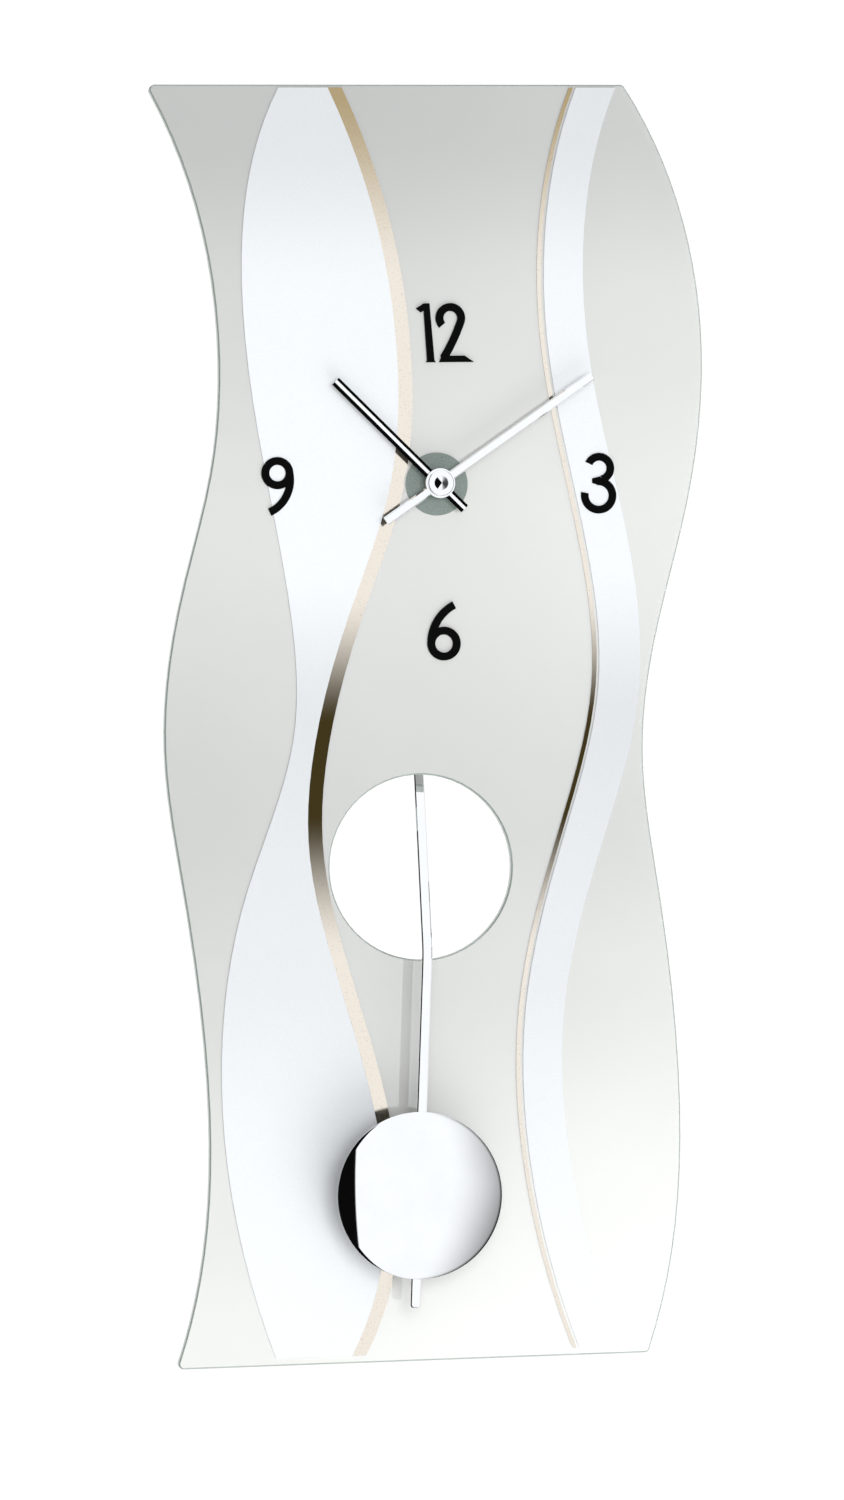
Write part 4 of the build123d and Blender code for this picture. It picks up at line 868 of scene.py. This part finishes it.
makeCell(cellShape)
print("dome, cap and cell made")


# Rows made by Geometry Nodes: a line of points with the same shape on each
def startTree(name, sockets):
    tree = bpy.data.node_groups.new(name, "GeometryNodeTree")
    face = tree.interface
    face.new_socket("Geometry", in_out="OUTPUT", socket_type="NodeSocketGeometry")
    for label, kind, value in sockets:
        face.new_socket(label, in_out="INPUT", socket_type=kind).default_value = value
    return tree, addNode(tree, "NodeGroupInput").outputs


def rowOfShapes(tree, given, count, instance, settings, paint):
    line = addNode(
        tree, "GeometryNodeMeshLine", {"mode": "OFFSET"},
        {"Count": count, "Start Location": given["Start"], "Offset": given["Step"]},
    )
    placed = addNode(
        tree, "GeometryNodeInstanceOnPoints",
        inputs={"Points": line.outputs[0], "Instance": instance, **settings},
    )
    real = addNode(tree, "GeometryNodeRealizeInstances", inputs={0: placed.outputs[0]})
    painted = addNode(
        tree, "GeometryNodeSetMaterial", inputs={"Geometry": real.outputs[0], "Material": paint}
    )
    addNode(tree, "NodeGroupOutput", inputs={"Geometry": painted.outputs[0]})


def fromNodes(name, tree, values):
    holder = bpy.data.objects.new(name + "_holder", bpy.data.meshes.new(name + "_holder"))
    scene.collection.objects.link(holder)
    modifier = holder.modifiers.new("nodes", "NODES")
    modifier.node_group = tree
    for item in tree.interface.items_tree:
        if item.item_type == "SOCKET" and item.in_out == "INPUT" and item.name in values:
            modifier[item.identifier] = values[item.name]
    graph = bpy.context.evaluated_depsgraph_get()
    shape = bpy.data.meshes.new_from_object(holder.evaluated_get(graph))
    shape.name = name
    holder.modifiers.remove(modifier)
    bpy.data.objects.remove(holder)
    return shape


# Wound coils: a row of wire rings along an axis, 0 for across and 1 for depth
driveWinding = {
    "turns": 20, "radius": 7.15 * mm, "wire": 0.13 * mm, "flange": 0.95 * mm,
    "axis": 1, "turn": (pi / 2, 0, 0), "ringPoints": 72,
}
motorWinding = {
    "turns": 34, "radius": 2.42 * mm, "wire": 0.11 * mm, "flange": 0.95 * mm,
    "axis": 0, "turn": (0, pi / 2, 0), "ringPoints": 32,
}


def windingTree(paint, wirePoints=8):
    tree, given = startTree("wireTurns", (
        ("Turns", "NodeSocketInt", 20),
        ("Ring Radius", "NodeSocketFloat", 7.1 * mm),
        ("Wire Radius", "NodeSocketFloat", 0.12 * mm),
        ("Start", "NodeSocketVector", (0, 0, 0)),
        ("Step", "NodeSocketVector", (0, 0, 0)),
        ("Turn", "NodeSocketVector", (0, 0, 0)),
        ("Ring Points", "NodeSocketInt", 72),
    ))
    circle = addNode(
        tree, "GeometryNodeCurvePrimitiveCircle",
        inputs={"Resolution": given["Ring Points"], "Radius": given["Ring Radius"]},
    )
    wire = addNode(
        tree, "GeometryNodeCurvePrimitiveCircle",
        inputs={"Resolution": wirePoints, "Radius": given["Wire Radius"]},
    )
    ring = addNode(
        tree, "GeometryNodeCurveToMesh",
        inputs={"Curve": circle.outputs["Curve"], "Profile Curve": wire.outputs["Curve"]},
    )
    rotation = addNode(tree, "FunctionNodeEulerToRotation", inputs={0: given["Turn"]})
    turned = {"Rotation": rotation.outputs[0]}
    rowOfShapes(tree, given, given["Turns"], ring.outputs[0], turned, paint)
    return tree


def makeWinding(name, look, tree, bobbin):
    low, high = bobbin
    axis = look["axis"]
    start, step = (low + high) / 2, Vector()
    start[axis] = low[axis] + look["flange"]
    step[axis] = (high[axis] - low[axis] - 2 * look["flange"]) / (look["turns"] - 1)
    shape = fromNodes(name, tree, {
        "Turns": look["turns"], "Ring Radius": look["radius"], "Wire Radius": look["wire"],
        "Start": tuple(start), "Step": tuple(step), "Turn": look["turn"],
        "Ring Points": look["ringPoints"],
    })
    addPiece(shape, "clock", copper, smoothAngle=0)


wireTurns = windingTree(copper)
makeWinding("drive_coil_winding", driveWinding, wireTurns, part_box("pendulum_drive_coil"))
makeWinding("motor_coil_winding", motorWinding, wireTurns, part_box("motor_coil"))
print("coils wound")

# Moulded marks on the back of the case: a turning arrow and the battery signs
caseMarks = {
    "relief": 0.2 * mm, "sunk": 0.3 * mm,
    "edge": 0.07 * mm, "edgeSteps": 2, "edgeFullness": 0.6,
    "arrowRadius": 6.0 * mm, "arrowWidth": 0.6 * mm, "arrowSweep": (35, 300), "arrowSteps": 40,
    "arrowHead": 1.6 * mm, "arrowPoint": 14,  # degrees that the head runs on past the ring
    "signReach": 1.5 * mm, "signWidth": 0.55 * mm, "signAside": 4.2 * mm, "signInset": 3.0 * mm,
}


def raisedMesh(name, outlines, depth, look):
    # each outline is a list of (across, up) corners, raised a little from the case's back
    work = bmesh.new()
    for outline in outlines:
        flat = [work.verts.new((x, depth - look["sunk"], z)) for x, z in outline]
        grown = bmesh.ops.extrude_face_region(work, geom=[work.faces.new(flat)])
        top = [item for item in grown["geom"] if isinstance(item, bmesh.types.BMVert)]
        bmesh.ops.translate(work, verts=top, vec=(0, look["sunk"] + look["relief"], 0))
    bmesh.ops.recalc_face_normals(work, faces=work.faces)
    rims = [edge for edge in work.edges if all(vert.co.y > depth for vert in edge.verts)]
    rims = [edge for edge in rims if len({round(side.normal.y, 2) for side in edge.link_faces}) > 1]
    bmesh.ops.bevel(
        work, geom=rims, offset=look["edge"], segments=look["edgeSteps"],
        profile=look["edgeFullness"], affect="EDGES", clamp_overlap=True,
    )
    return finishMesh(name, work)


def barOutline(centre, length, width, turn=0.0):
    along = Vector((cos(turn), sin(turn))) * length / 2
    side = Vector((-sin(turn), cos(turn))) * width / 2
    steps = ((-along, -side), (along, -side), (along, side), (-along, side))
    return [tuple(Vector(centre) + first + second) for first, second in steps]


def makeCaseMarks(look):
    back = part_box("movement_back_case")[1].y
    # the arrow runs round the setting knob
    low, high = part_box("set_knob")
    knob = ((low.x + high.x) / 2, (low.z + high.z) / 2)
    start, stop = look["arrowSweep"]
    ring, width, head = look["arrowRadius"], look["arrowWidth"], look["arrowHead"]
    inner = arcPoints(knob, ring - width / 2, start, stop, look["arrowSteps"])
    outer = arcPoints(knob, ring + width / 2, stop, start, look["arrowSteps"])
    point = [
        (knob[0] + reach * cos(radians(angle)), knob[1] + reach * sin(radians(angle)))
        for reach, angle in (
            (ring - head / 2, start), (ring + head / 2, start), (ring, start - look["arrowPoint"]),
        )
    ]
    arrow = raisedMesh("turning_arrow", [inner + outer, point], back, look)
    addPiece(arrow, "clock", caseBlack)
    # plus and minus beside the ends of the cell
    cellLow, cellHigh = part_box("battery")
    beside = cellLow.x - look["signAside"]
    reach, width = look["signReach"], look["signWidth"]
    plus = (beside, cellHigh.z - look["signInset"])
    minus = (beside, cellLow.z + look["signInset"])
    arm = (2 * reach - width) / 2
    away = arm / 2 + width / 2
    signs = [
        barOutline(plus, 2 * reach, width),
        barOutline((plus[0], plus[1] + away), arm, width, pi / 2),
        barOutline((plus[0], plus[1] - away), arm, width, pi / 2),
        barOutline(minus, 2 * reach, width),
    ]
    addPiece(raisedMesh("battery_signs", signs, back, look), "clock", caseBlack)


makeCaseMarks(caseMarks)
print("case marks made")

# Grip ribs on the sides of the case
ribRow = {
    "count": 9, "gap": 2.0 * mm, "length": 9.0 * mm, "width": 0.7 * mm,
    "proud": 0.18 * mm, "sunk": 0.3 * mm, "forward": 2.0 * mm,
}


def ribTree(paint, aroundRib=24):
    tree, given = startTree("ribRow", (
        ("Ribs", "NodeSocketInt", 9),
        ("Start", "NodeSocketVector", (0, 0, 0)),
        ("Step", "NodeSocketVector", (0, 0, 0)),
        ("Size", "NodeSocketVector", (0.001, 0.01, 0.001)),
    ))
    barrel = addNode(  # one across and one long, so Size gives the rib's own measures
        tree, "GeometryNodeMeshCylinder",
        inputs={"Vertices": aroundRib, "Radius": 0.5, "Depth": 1.0},
    )
    lying = addNode(
        tree, "GeometryNodeTransform",
        inputs={"Geometry": barrel.outputs["Mesh"], "Rotation": (pi / 2, 0, 0)},
    )
    rowOfShapes(tree, given, given["Ribs"], lying.outputs[0], {"Scale": given["Size"]}, paint)
    return tree


def makeRibs(look, tree):
    low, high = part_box("movement_back_case")
    depth = (high.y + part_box("movement_front_case")[0].y) / 2 - look["forward"]
    foot = (low.z + high.z) / 2 - look["gap"] * (look["count"] - 1) / 2
    thick = 2 * (look["proud"] + look["sunk"])
    for side, across in (("left", low.x + look["sunk"]), ("right", high.x - look["sunk"])):
        shape = fromNodes("grip_ribs_" + side, tree, {
            "Ribs": look["count"],
            "Start": (across, depth, foot),
            "Step": (0, 0, look["gap"]),
            "Size": (thick, look["length"], look["width"]),
        })
        addPiece(shape, "clock", caseBlack)


makeRibs(ribRow, ribTree(caseBlack))
print("grip ribs made")
